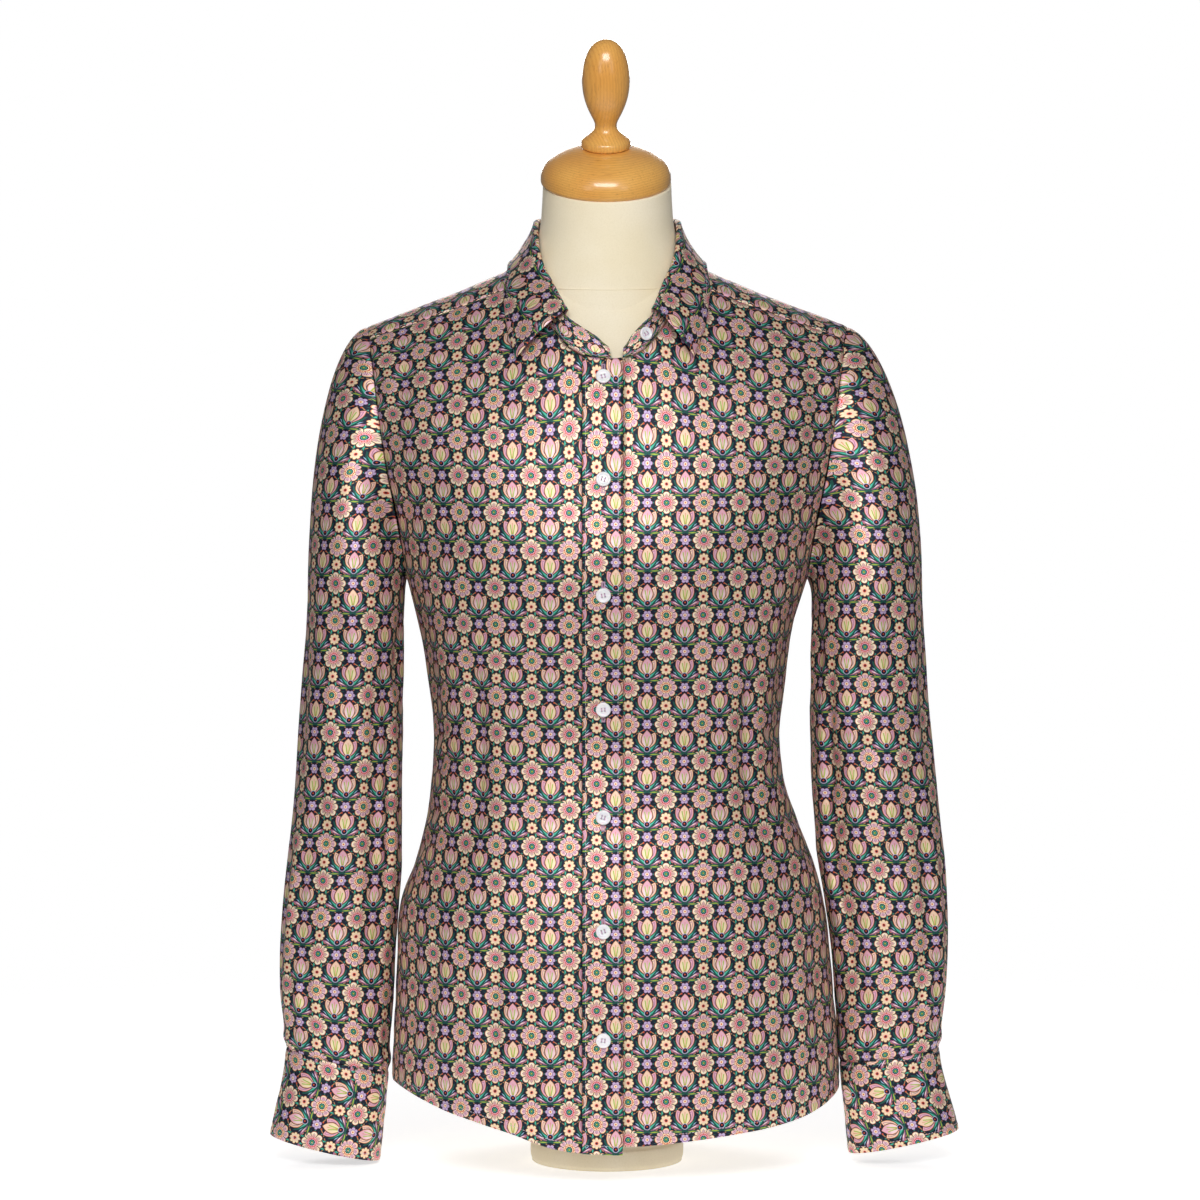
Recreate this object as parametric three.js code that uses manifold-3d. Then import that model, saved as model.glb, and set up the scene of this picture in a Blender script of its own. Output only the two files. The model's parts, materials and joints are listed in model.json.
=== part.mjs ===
// Silk shirt worn by a limbless dress form that stands on its own plinth.
// Millimetres, +Z up. The front faces -Y, and +X is on the right seen from the front.
// "right" and "left" in names are the wearer's: the wearer's right is at -X.
import * as THREE from 'three';
import { mergeVertices } from 'three/addons/utils/BufferGeometryUtils.js';
import Module from 'manifold-3d';

const WALL = 1.2; // cloth as built
const SEAM = 0.3; // between pieces that are sewn together
const DEGREE = Math.PI / 180;

// Heights that the tables share
const CHEST = 540; // above it the sections climb to the shoulder ridge
const RIDGE = 700; // nominal height of the ridge, where front and back meet
const UNDERARM = 455;
const HEM_BLEND = 150; // the hem's curve has faded out at this height

// Outer face of the shirt: half widths to the wearer's right and left, depths to front and back
const BODY = {
  columns: ['h', 'right', 'left', 'front', 'back'],
  rows: [
    [0, 168, 182, 127, 124],
    [60, 167, 181, 127, 124],
    [110, 166, 178, 126, 124],
    [157, 164, 175, 125, 123],
    [204, 161.2, 169, 121, 118],
    [235, 150, 161, 116, 111],
    [267, 141, 148.5, 109, 103],
    [298, 136.5, 138.5, 104, 96],
    [329, 135, 134.5, 102, 93],
    [361, 137.5, 136.6, 106, 94],
    [392, 142, 141, 114, 98],
    [423, 147.5, 146, 123, 103],
    [455, 155, 155, 129, 107],
    [490, 163, 163, 129, 111],
    [540, 178, 178, 118, 113],
    [580, 190, 190, 106, 112],
    [620, 200, 200, 94, 108],
    [660, 206, 206, 86, 100],
    [700, 210, 210, 82, 92],
  ],
};

// Height of the shoulder ridge over each distance from the middle
const SHOULDER = {
  columns: ['x', 'z'],
  rows: [
    [0, 730],
    [40, 722],
    [56, 712],
    [76, 696.5],
    [90, 690],
    [120, 677.5],
    [152, 665],
    [185, 652.5],
    [215, 638],
  ],
};

// Where the armhole seam runs across the front and across the back
const ARMHOLE = {
  columns: ['h', 'front', 'back'],
  rows: [
    [455, 155, 155],
    [470, 156.5, 156],
    [490, 160, 158.5],
    [515, 164.5, 162],
    [540, 169.5, 166],
    [580, 176, 171],
    [620, 181, 177],
    [660, 184.5, 183],
    [700, 187, 187],
  ],
};

// Neckline of one side, from the front middle to the back middle.
// g is the way over the ridge: RIDGE - g is the nominal height, below zero in front.
const NECKLINE = {
  columns: ['t', 'x', 'g'],
  rows: [
    [0.0, 0, -112],
    [0.06, 15, -110.5],
    [0.12, 28, -106],
    [0.19, 40, -96],
    [0.26, 50, -82],
    [0.33, 57, -66],
    [0.4, 61.3, -52],
    [0.44, 62.5, -44],
    [0.52, 64.3, -22],
    [0.6, 64.5, 0],
    [0.67, 63, 14],
    [0.74, 58, 28],
    [0.82, 46, 40],
    [0.9, 30, 49],
    [0.95, 15, 53.5],
    [1.0, 0, 55],
  ],
};
const NECK_CORNER = 0.44; // where the neckline crosses the front yoke seam
const YOKE_FRONT = 656; // nominal height of the front yoke seam
const YOKE_BACK_Z = 622; // real height of the back yoke seam

// Hem heights across the shirt, by x, for each front and for the back
const HEM = {
  columns: ['x', 'frontRight', 'frontLeft', 'back'],
  rows: [
    [-170, 67, 67, 67],
    [-157, 65, 65, 62],
    [-143, 60.5, 60, 57],
    [-124, 54, 54, 50],
    [-100, 47.5, 47, 43],
    [-71, 39.5, 39, 35],
    [-50, 32, 35, 30.5],
    [-30, 27.5, 32, 27.5],
    [0, 25.5, 31, 26],
    [30, 25.5, 32, 27.5],
    [54, 27, 34, 31],
    [105, 40, 39.5, 43],
    [128, 43, 42.5, 49],
    [152, 48, 47.5, 54],
    [168, 54, 53.5, 57],
    [181, 60, 60, 60],
  ],
};

// Largest folds of front and back: a trough down the cloth at angle phi, depth in mm
const BODY_FOLDS = {
  columns: ['phi', 'low', 'high', 'width', 'depth'],
  rows: [
    [-44, 225, 432, 5, 4.2], // waist dart of the right front
    [50, 232, 415, 5, 4.6], // waist dart of the left front
    [-74, 300, 470, 9, 2.6], // bust dart's soft end under the right arm
    [76, 290, 470, 9, 2.4],
    [146, 215, 470, 6, 4.0], // waist darts of the back
    [-146, 215, 470, 6, 4.0],
    [118, 40, 250, 10, 3.0], // loose flutes of the skirt, hidden side
    [-122, 40, 240, 10, 3.4],
    [-62, 45, 215, 8, 2.2],
    [66, 45, 205, 8, 2.8],
  ],
};

// Buttons down the front, real heights read off the photo
const BUTTON_HEIGHTS = [613, 536, 449.5, 362, 279.5, 194.5, 112.5];
const BUTTON_X = -3;
const BUTTON_RADIUS = 5.7;
const SMALL_BUTTON = 5.2; // on the collar stand and the cuffs

// Front bands: stitched edge and free edge of the buttonhole band
const BAND_SEAM = -17.5;
const BAND_EDGE = 11.5;
const BAND_LIFT = WALL + SEAM;

const SLEEVES = {
  right: {
    side: -1,
    // Section centre, half width and depth, and rise of the section towards the outside
    columns: ['z', 'x', 'half', 'y', 'depth', 'rise'],
    rows: [
      [440, 195.2, 37.8, -2, 60, 0],
      [400, 196.8, 38.6, -3, 57, 0],
      [361, 198.5, 39.4, -4, 53, 0],
      [283, 201.9, 42.3, -7, 46, 0],
      [236, 204.8, 44.3, -9, 42, 0],
      [204, 207.3, 45.0, -10, 39, 0.01],
      [157, 210.2, 45.0, -12, 36, 0.06],
      [126, 211.4, 43.6, -13, 34, 0.13],
      [102, 211.0, 41.2, -13, 32, 0.19],
      [81.5, 210.6, 40.0, -13, 30, 0.234],
      [12.5, 220.2, 43.0, -14, 29, 0.235],
    ],
    cuffTop: 81.5,
    cuffEnd: 12.5,
  },
  left: {
    side: 1,
    columns: ['z', 'x', 'half', 'y', 'depth', 'rise'],
    rows: [
      [440, 202.5, 43.0, -2, 60, 0],
      [400, 203.0, 44.5, -3, 57, 0],
      [361, 203.8, 45.6, -4, 53, 0],
      [283, 209.4, 48.9, -7, 46, 0],
      [236, 214.0, 49.2, -9, 42, 0],
      [204, 217.6, 47.4, -10, 39, 0.01],
      [157, 220.9, 44.6, -12, 36, 0.04],
      [126, 221.2, 42.6, -13, 34, 0.08],
      [102, 220.6, 40.4, -13, 32, 0.12],
      [85, 220.4, 39.0, -13, 30, 0.15],
      [17.5, 231.6, 43.2, -14, 29, 0.215],
    ],
    cuffTop: 85,
    cuffEnd: 17.5,
  },
};

// Folds of the sleeves: troughs at an angle round the sleeve (0 outside, 90 front, 180 body side)
const SLEEVE_FOLDS = {
  columns: ['angle', 'low', 'high', 'width', 'depth', 'lean'],
  rows: [
    [128, 110, 430, 13, 4.0, 8],
    [58, 120, 300, 12, 2.4, -10],
    [232, 130, 400, 15, 4.2, -12],
    [305, 120, 330, 13, 3.0, 12],
    [92, 330, 440, 11, 2.2, 16],
  ],
};

const CUFF_START = 262; // angle round the cuff where its under end begins, at the back
const CUFF_LAP = 30; // degrees that the button end laps over it
const CUFF_CORNER = 7; // rounded corner of the lapping end

// Top edge of the collar stand from the front end to the back middle, one side each
const STAND_TOP = {
  columns: ['t', 'xRight', 'yRight', 'zRight', 'xLeft', 'yLeft', 'zLeft'],
  rows: [
    [0.0, -0.5, -90.5, 638, 12.5, -91, 637],
    [0.06, 10, -87.2, 645, 20, -88.5, 646],
    [0.12, 21, -82.5, 652, 27, -84.5, 653.5],
    [0.19, 31.5, -76.8, 660, 35, -78, 661],
    [0.26, 38, -67.5, 671, 40.5, -68.5, 672],
    [0.33, 43.5, -56, 683, 45, -56, 684],
    [0.4, 50, -45, 697, 50.5, -45, 697],
    [0.46, 53, -37, 708, 53.5, -37, 708],
    [0.52, 54.2, -26, 718, 54.6, -26, 718],
    [0.6, 54.6, -3, 729.5, 54.8, -3, 729.5],
    [0.67, 53, 11, 732.5, 53.2, 11, 732.5],
    [0.74, 48.5, 24.5, 733, 48.5, 24.5, 733],
    [0.82, 39, 34.5, 733, 39, 34.5, 733],
    [0.9, 26, 42, 732.5, 26, 42, 732.5],
    [1.0, 0, 46.5, 732, 0, 46.5, 732],
  ],
};
const LEAF_START = 0.19; // the leaf begins here, behind the stand's button end

// Outer edge of the collar leaf on the shirt's surface, from the point to the back middle
const LEAF_EDGE = {
  columns: ['t', 'x', 'g', 'lift', 'leftIn'],
  rows: [
    [0.19, 67.5, -104.5, 4.2, 3.2],
    [0.26, 74.5, -86, 3.4, 2.4],
    [0.33, 77.5, -66, 3.0, 1.2],
    [0.4, 78, -48, 3.6, 0],
    [0.52, 75, -20, 4.2, 0],
    [0.6, 74, 4, 4.4, 0],
    [0.67, 73, 22, 4.2, 0],
    [0.74, 69, 41, 3.6, 0],
    [0.82, 57, 57, 3.4, 0],
    [0.9, 36, 66, 3.4, 0],
    [1.0, 0, 69, 3.4, 0],
  ],
};

// Dress form: neck sections tilt forward towards the cap
const NECK = {
  columns: ['f', 'z', 'half', 'y', 'depth', 'tilt'],
  rows: [
    [0.0, 650, 74, -8, 60, 0],
    [0.2, 676, 67, -8, 56, 2],
    [0.4, 702, 59.5, -9, 52.5, 6],
    [0.6, 726, 52.4, -10, 49.8, 11],
    [0.8, 745, 50.4, -11, 49.4, 16],
    [1.0, 762, 49.6, -12, 49.4, 19],
  ],
};
const CAP_TILT = 19; // degrees that cap and finial lean forward
const CAP_CENTRE = [-1, -12, 762]; // middle of the neck's top
const CAP_HEIGHT = 29;
const FORM_BOTTOM = 95;
const FORM_CLEAR = 0.8; // form to cloth along the shoulders
const FORM_EASE = 7; // form to cloth further down
const PLINTH_RADIUS = 60;

const CLOTH_COLOUR = '#5b5166';
const CLOTH_FINISH = { color: CLOTH_COLOUR, roughness: 0.42, metalness: 0 };
const COVER_FINISH = { color: '#ece2c8', roughness: 0.85, metalness: 0 };
const WOOD_FINISH = { color: '#c57a3a', roughness: 0.25, metalness: 0 };
const BUTTON_FINISH = { color: '#efedf2', roughness: 0.3, metalness: 0 };

const part = new THREE.Group();

// Reads one column of a table at a key, on a smooth curve through its rows
function lookup(table, key, column) {
  const at = table.columns.indexOf(column);
  const rows = table.rows;
  const up = rows[rows.length - 1][0] > rows[0][0] ? 1 : -1;
  const last = rows.length - 2;
  let i = 0;
  while (i < last && (key - rows[i + 1][0]) * up > 0) i += 1;
  const slope = (a, b) => (rows[b][at] - rows[a][at]) / (rows[b][0] - rows[a][0]);
  const span = rows[i + 1][0] - rows[i][0];
  const here = slope(i, i + 1);
  const before = i > 0 ? (slope(i - 1, i) + here) / 2 : here;
  const after = i < last ? (slope(i + 1, i + 2) + here) / 2 : here;
  const f = THREE.MathUtils.clamp((key - rows[i][0]) / span, 0, 1);
  const f2 = f * f;
  const f3 = f2 * f;
  return (2 * f3 - 3 * f2 + 1) * rows[i][at] + (f3 - 2 * f2 + f) * span * before
    + (3 * f2 - 2 * f3) * rows[i + 1][at] + (f3 - f2) * span * after;
}

const mix = THREE.MathUtils.lerp;
const ease = THREE.MathUtils.smoothstep;
const steps = (count) => Array.from({ length: count + 1 }, (_, i) => i / count);

// Depth of a fold: a soft bell across it, faded at both ends
function bell(offset, width, height, low, high) {
  const across = Math.exp(-((offset / width) ** 2));
  const along = ease(height, low, low + 0.35 * (high - low)) * (1 - ease(height, high - 0.35 * (high - low), high));
  return across * along;
}

function bodyFold(phi, h) {
  let depth = 0;
  for (const [angle, low, high, width, deep] of BODY_FOLDS.rows) {
    const turn = THREE.MathUtils.euclideanModulo(phi / DEGREE - angle + 180, 360) - 180;
    depth += deep * bell(turn, width, h, low, high);
  }
  return depth;
}

const FRONT_ROUND = 0.84; // below 1 the section is squarer than an ellipse
const BACK_ROUND = 0.9;
const signedPower = (value, power) => Math.sign(value) * Math.abs(value) ** power;

// A point of the shirt's outer face. phi is 0 in front, 90 degrees at the wearer's left seam.
function bodyPoint(phi, h, drop = 0) {
  const inFront = Math.cos(phi) >= 0;
  const round = inFront ? FRONT_ROUND : BACK_ROUND;
  const half = lookup(BODY, h, Math.sin(phi) < 0 ? 'right' : 'left');
  const depth = lookup(BODY, h, inFront ? 'front' : 'back');
  const inset = bodyFold(phi, h);
  const x = signedPower(Math.sin(phi), round) * (half - inset);
  const y = -signedPower(Math.cos(phi), round) * (depth - inset);
  if (h <= CHEST) return new THREE.Vector3(x, y, h + drop);
  const climb = Math.min((h - CHEST) / (RIDGE - CHEST), 1) * 90 * DEGREE;
  const top = lookup(SHOULDER, Math.abs(x), 'z');
  return new THREE.Vector3(x, y * Math.cos(climb), CHEST + (top - CHEST) * Math.sin(climb));
}

function bodyNormal(phi, h) {
  const turn = 0.01;
  const low = h > RIDGE - 1 ? h - 1 : h;
  const across = bodyPoint(phi + turn, low).sub(bodyPoint(phi - turn, low));
  const up = bodyPoint(phi, low + 0.5).sub(bodyPoint(phi, low - 0.5));
  return across.cross(up).normalize();
}

// The angle phi at which the front or the back of a section passes a given x
function phiAt(x, h, inFront) {
  const half = lookup(BODY, h, x < 0 ? 'right' : 'left');
  const share = Math.min(Math.abs(x) / half, 1);
  const angle = Math.asin(share ** (1 / (inFront ? FRONT_ROUND : BACK_ROUND)));
  return Math.sign(x || 1) * (inFront ? angle : Math.PI - angle);
}

// Surface point over x and g, the way over the ridge, with a lift off the cloth
function overRidge(x, g, lift = 0) {
  const h = RIDGE - Math.abs(g);
  const phi = phiAt(x, h, g <= 0);
  return bodyPoint(phi, h).addScaledVector(bodyNormal(phi, h), lift);
}

// A closed wall from a grid of outer points and their normals, thickened inwards
function wall(points, normals, thickness, closed = false) {
  const rows = points.length;
  const cols = points[0].length;
  const positions = [];
  for (const layer of [0, thickness]) {
    points.forEach((row, r) => row.forEach((point, c) => {
      positions.push(...point.clone().addScaledVector(normals[r][c], -layer).toArray());
    }));
  }
  const inner = rows * cols;
  const index = [];
  const quad = (a, b, c, d) => index.push(a, b, c, a, c, d);
  const at = (r, c) => r * cols + (c % cols);
  const wide = closed ? cols : cols - 1;
  for (let r = 0; r < rows - 1; r += 1) {
    for (let c = 0; c < wide; c += 1) {
      quad(at(r, c), at(r, c + 1), at(r + 1, c + 1), at(r + 1, c));
      quad(inner + at(r, c), inner + at(r + 1, c), inner + at(r + 1, c + 1), inner + at(r, c + 1));
    }
  }
  for (let c = 0; c < wide; c += 1) {
    quad(at(0, c), inner + at(0, c), inner + at(0, c + 1), at(0, c + 1));
    quad(at(rows - 1, c), at(rows - 1, c + 1), inner + at(rows - 1, c + 1), inner + at(rows - 1, c));
  }
  if (!closed) {
    for (let r = 0; r < rows - 1; r += 1) {
      quad(at(r, 0), at(r + 1, 0), inner + at(r + 1, 0), inner + at(r, 0));
      const end = cols - 1;
      quad(at(r, end), inner + at(r, end), inner + at(r + 1, end), at(r + 1, end));
    }
  }
  return solid(positions, index);
}

// Geometry from positions and an index, with the triangles facing outwards
function solid(positions, index) {
  const p = (i) => new THREE.Vector3().fromArray(positions, 3 * i);
  let volume = 0;
  for (let i = 0; i < index.length; i += 3) {
    volume += p(index[i]).dot(p(index[i + 1]).cross(p(index[i + 2])));
  }
  if (volume < 0) index.reverse();
  const geometry = new THREE.BufferGeometry();
  geometry.setAttribute('position', new THREE.Float32BufferAttribute(positions, 3));
  geometry.setIndex(index);
  return geometry;
}

// Normals of a grid from its neighbours, turned to face away from an inside point's side
function gridNormals(points, closed, outward) {
  const rows = points.length;
  const cols = points[0].length;
  return points.map((row, r) => row.map((point, c) => {
    const left = closed ? row[(c + cols - 1) % cols] : row[Math.max(c - 1, 0)];
    const right = closed ? row[(c + 1) % cols] : row[Math.min(c + 1, cols - 1)];
    const down = points[Math.max(r - 1, 0)][c];
    const up = points[Math.min(r + 1, rows - 1)][c];
    const normal = right.clone().sub(left).cross(up.clone().sub(down)).normalize();
    return normal.dot(outward(r, c)) < 0 ? normal.negate() : normal;
  }));
}

function add(name, geometry, finish) {
  const mesh = new THREE.Mesh(geometry, new THREE.MeshStandardMaterial(finish));
  mesh.name = name;
  part.add(mesh);
  return mesh;
}

// Grid over the body from a function that gives phi, nominal height, drop and lift
function bodyPiece(rowSteps, colSteps, place) {
  const points = [];
  const normals = [];
  for (const v of rowSteps) {
    const pointRow = [];
    const normalRow = [];
    for (const u of colSteps) {
      const { phi, h, drop = 0, lift = 0 } = place(u, v);
      const normal = bodyNormal(phi, h);
      pointRow.push(bodyPoint(phi, h, drop).addScaledVector(normal, lift));
      normalRow.push(normal);
    }
    points.push(pointRow);
    normals.push(normalRow);
  }
  return { points, normals };
}

// Rows 0..LOWER climb from the hem to the chest, the rest from the chest to the top edge
const DOWN_THE_BODY = 19; // rows of quads from hem to top
const LOWER = 13 / 19;
function climb(v, hem, top) {
  if (v > LOWER) return { h: mix(CHEST, top, (v - LOWER) / (1 - LOWER)), drop: 0 };
  const h = mix(HEM.rows[8][1], CHEST, v / LOWER);
  const fade = Math.max(1 - (h - HEM.rows[8][1]) / (HEM_BLEND - HEM.rows[8][1]), 0);
  return { h, drop: (hem - HEM.rows[8][1]) * fade };
}

const seamPhi = (gap, h, side) => (gap / 2) / lookup(BODY, h, side);

// One front, from its band's edge at inner to the side seam and armhole
function makeFront(name, side, inner, hemColumn) {
  const sideName = side < 0 ? 'right' : 'left';
  const corner = 0.26;
  const edgeSteps = [0, 0.065, 0.13, 0.195, corner, 0.38, 0.5, 0.62, 0.74, 0.87, 1];
  const neckStart = 0.06 * Math.abs(inner) / 15;
  const outerPhi = (h) => (h <= UNDERARM
    ? 90 * DEGREE - seamPhi(SEAM, h, sideName)
    : Math.abs(phiAt(side * (lookup(ARMHOLE, h, 'front') - SEAM / 2), h, true)));
  const innerPhi = (h) => Math.abs(phiAt(side * inner, h, true));
  const topOf = (u) => {
    if (u > corner) {
      const across = (u - corner) / (1 - corner);
      return { x: mix(62.5, lookup(ARMHOLE, YOKE_FRONT, 'front') - SEAM / 2, across), h: YOKE_FRONT - 0.3 };
    }
    const t = mix(neckStart, NECK_CORNER, u / corner);
    return { x: lookup(NECKLINE, t, 'x'), h: RIDGE + lookup(NECKLINE, t, 'g') };
  };
  const place = (u, v) => {
    const top = topOf(u);
    const hemX = bodyPoint(side * mix(innerPhi(60), outerPhi(60), u), 60).x;
    const { h, drop } = climb(v, lookup(HEM, hemX, hemColumn), top.h);
    const topPhi = Math.abs(phiAt(top.x, top.h, true));
    const topShare = (topPhi - innerPhi(top.h)) / (outerPhi(top.h) - innerPhi(top.h));
    const share = mix(u, THREE.MathUtils.clamp(topShare, 0, 1), Math.max(v - LOWER, 0) / (1 - LOWER));
    return { phi: side * mix(innerPhi(h), outerPhi(h), share), h, drop };
  };
  const grid = bodyPiece(steps(DOWN_THE_BODY), edgeSteps, place);
  add(name, wall(grid.points, grid.normals, WALL), CLOTH_FINISH);
}

// A band down the front between two x values, on its own layer
function makeBand(name, from, to, lift, hemColumn) {
  const place = (u, v) => {
    const x = mix(from, to, u);
    const t = 0.06 * Math.abs(x) / 15;
    const { h, drop } = climb(v, lookup(HEM, x, hemColumn), RIDGE + lookup(NECKLINE, t, 'g'));
    return { phi: phiAt(x, h, true), h, drop, lift };
  };
  const grid = bodyPiece(steps(DOWN_THE_BODY), steps(3), place);
  add(name, wall(grid.points, grid.normals, WALL), CLOTH_FINISH);
}

// Nominal height at which the back yoke seam keeps its real height over x
function yokeBackH(x) {
  const rise = (YOKE_BACK_Z - CHEST) / (lookup(SHOULDER, Math.abs(x), 'z') - CHEST);
  return CHEST + (RIDGE - CHEST) * Math.asin(rise) / (90 * DEGREE);
}

function makeBack() {
  const place = (u, v) => {
    const side = Math.sign(u) || 1;
    const sideName = side < 0 ? 'right' : 'left';
    const seam = (h) => (h <= UNDERARM
      ? 90 * DEGREE - seamPhi(SEAM, h, sideName)
      : Math.PI - Math.abs(phiAt(lookup(ARMHOLE, h, 'back') - SEAM / 2, h, false)));
    const reach = 0.97 * Math.abs(u) * lookup(ARMHOLE, 620, 'back');
    const hem = lookup(HEM, bodyPoint(side * (Math.PI - seam(60) * Math.abs(u)), 60).x, 'back');
    const { h, drop } = climb(v, hem, yokeBackH(reach) - 0.3);
    return { phi: side * (Math.PI - seam(h) * Math.abs(u)), h, drop };
  };
  const acrossBack = steps(16).map((u) => 2 * u - 1);
  const grid = bodyPiece(steps(DOWN_THE_BODY), acrossBack, place);
  add('back', wall(grid.points, grid.normals, WALL), CLOTH_FINISH);
}

// The yoke runs from the front seams and the neckline over the ridge to the back seam
function makeYoke() {
  const neckShare = 0.4;
  const columns = [-1, -0.85, -0.7, -0.55, -0.4, -0.34, -0.28, -0.22, -0.16, -0.08, 0];
  const across = [...columns, ...columns.slice(0, -1).reverse().map((u) => -u)];
  const points = [];
  const normals = [];
  for (const v of steps(8)) {
    const pointRow = [];
    const normalRow = [];
    for (const u of across) {
      const side = Math.sign(u) || 1;
      const out = Math.abs(u);
      const armFront = lookup(ARMHOLE, YOKE_FRONT, 'front') - SEAM / 2;
      const t = mix(1, NECK_CORNER, Math.min(out / neckShare, 1));
      const top = out > neckShare
        ? { x: mix(62.5, armFront, (out - neckShare) / (1 - neckShare)), g: YOKE_FRONT - RIDGE + 0.3 }
        : { x: lookup(NECKLINE, t, 'x'), g: lookup(NECKLINE, t, 'g') };
      const lowX = out * (lookup(ARMHOLE, 620, 'back') - SEAM / 2);
      const lowG = RIDGE - yokeBackH(0.97 * lowX) - 0.3;
      const g = mix(top.g, lowG, v);
      const armhole = lookup(ARMHOLE, RIDGE - Math.abs(g), g <= 0 ? 'front' : 'back') - SEAM / 2;
      const straight = mix(top.x, lowX, v);
      const x = out > neckShare ? mix(straight, armhole, out ** 8) : straight;
      const h = RIDGE - Math.abs(g);
      const phi = phiAt(side * x, h, g <= 0);
      pointRow.push(bodyPoint(phi, h));
      normalRow.push(bodyNormal(phi, h));
    }
    points.push(pointRow);
    normals.push(normalRow);
  }
  add('yoke', wall(points, normals, WALL), CLOTH_FINISH);
}

// Points along one armhole, spaced evenly, from the shoulder down to the underarm
function armholeEdge(side, inFront) {
  const fine = steps(120).map((f) => {
    const h = mix(RIDGE, UNDERARM, f);
    const x = side * (lookup(ARMHOLE, h, inFront ? 'front' : 'back') + SEAM / 2);
    const phi = phiAt(x, h, inFront);
    return bodyPoint(phi, h);
  });
  const lengths = [0];
  for (let i = 1; i < fine.length; i += 1) {
    lengths.push(lengths[i - 1] + fine[i].distanceTo(fine[i - 1]));
  }
  return (share) => {
    const want = share * lengths[lengths.length - 1];
    let i = 1;
    while (i < fine.length - 1 && lengths[i] < want) i += 1;
    const f = (want - lengths[i - 1]) / (lengths[i] - lengths[i - 1]);
    return fine[i - 1].clone().lerp(fine[i], f);
  };
}

// A point of a sleeve's or cuff's section at angle theta: 0 outside, 90 degrees in front
function sleevePoint(sleeve, theta, z, lift = 0) {
  const degrees = THREE.MathUtils.euclideanModulo(theta / DEGREE, 360);
  let inset = -lift;
  for (const [angle, low, high, width, depth, lean] of SLEEVE_FOLDS.rows) {
    const at = angle + lean * (z - low) / (high - low) * sleeve.side;
    inset += depth * bell(degrees - at, width, z, low, high);
  }
  const half = lookup(sleeve, z, 'half') - inset;
  const depth = lookup(sleeve, z, 'depth') - inset;
  const out = half * signedPower(Math.cos(theta), 0.92);
  const front = depth * signedPower(Math.sin(theta), 0.92);
  return new THREE.Vector3(
    sleeve.side * (lookup(sleeve, z, 'x') + out),
    lookup(sleeve, z, 'y') - front,
    z + lookup(sleeve, z, 'rise') * out,
  );
}

const SLEEVE_AROUND = 24;

function makeSleeve(name, sleeve) {
  const front = armholeEdge(sleeve.side, true);
  const back = armholeEdge(sleeve.side, false);
  const first = sleeve.rows[0][0];
  const angles = steps(SLEEVE_AROUND).slice(0, -1).map((u) => u * 2 * Math.PI);
  const heads = angles.map((theta) => {
    const share = theta <= Math.PI ? theta / Math.PI : 2 - theta / Math.PI;
    return theta <= Math.PI ? front(share) : back(share);
  });
  const away = new THREE.Vector3(sleeve.side, 0, -0.36).normalize();
  const points = [];
  for (const t of [0, 0.08, 0.18, 0.32, 0.48, 0.65, 0.82, 1]) {
    points.push(angles.map((theta, i) => {
      const under = Math.max(-Math.cos(theta), 0);
      const start = heads[i].clone().addScaledVector(away, SEAM / 2);
      start.x += sleeve.side * under * 0.4;
      const end = sleevePoint(sleeve, theta, first);
      const reach = start.distanceTo(end);
      const a = start.clone().addScaledVector(away, 0.12 * reach);
      const b = end.clone().add(new THREE.Vector3(0, 0, 0.6 * reach));
      return new THREE.CubicBezierCurve3(start, a, b, end).getPoint(t);
    }));
  }
  for (const f of steps(11).slice(1)) {
    const z = mix(first, sleeve.cuffTop + SEAM, f);
    points.push(angles.map((theta) => sleevePoint(sleeve, theta, z)));
  }
  const rings = points.map((ring) => ring.reduce((sum, p) => sum.add(p), new THREE.Vector3())
    .divideScalar(ring.length));
  const normals = gridNormals(points, true, (r, c) => points[r][c].clone().sub(rings[r]));
  add(name, wall(points, normals, WALL, true), CLOTH_FINISH);
}

// The cuff is a band with a lapped end at the back; its lapping end has a rounded corner
function makeCuff(name, sleeve) {
  const turn = 360 + CUFF_LAP;
  const points = [];
  const wide = steps(26);
  for (const v of steps(4)) {
    points.push(wide.map((u) => {
      const angle = CUFF_START + u * turn;
      const lap = ease(u * turn, turn - CUFF_LAP - 16, turn - CUFF_LAP + 1) * (WALL + SEAM + 0.1);
      const toEnd = (1 - u) * turn * DEGREE * lookup(sleeve, sleeve.cuffEnd, 'half') * 0.8;
      const round = Math.max(CUFF_CORNER - toEnd, 0);
      const rise = CUFF_CORNER - Math.sqrt(CUFF_CORNER ** 2 - round ** 2);
      const z = mix(sleeve.cuffTop, sleeve.cuffEnd + rise, v);
      return sleevePoint(sleeve, angle * DEGREE, z, lap);
    }));
  }
  const middle = (r) => new THREE.Vector3(
    sleeve.side * lookup(sleeve, mix(sleeve.cuffTop, sleeve.cuffEnd, r / 4), 'x'),
    lookup(sleeve, mix(sleeve.cuffTop, sleeve.cuffEnd, r / 4), 'y'),
    mix(sleeve.cuffTop, sleeve.cuffEnd, r / 4),
  );
  const normals = gridNormals(points, false, (r, c) => points[r][c].clone().sub(middle(r)));
  add(name, wall(points, normals, WALL), CLOTH_FINISH);
}

// Bound slit above the cuff at the back, a strip made from the sleeve's points
function makeSleevePlacket(name, sleeve) {
  const points = [];
  for (const v of steps(6)) {
    points.push(steps(3).map((u) => {
      const theta = (CUFF_START + CUFF_LAP - 14 + 26 * u) * DEGREE;
      const z = mix(sleeve.cuffTop + 0.6, sleeve.cuffTop + 95, v);
      return sleevePoint(sleeve, theta, z, BAND_LIFT + 0.2);
    }));
  }
  const back = new THREE.Vector3(0, 1, 0);
  const normals = gridNormals(points, false, () => back);
  add(name, wall(points, normals, WALL), CLOTH_FINISH);
}

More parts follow.
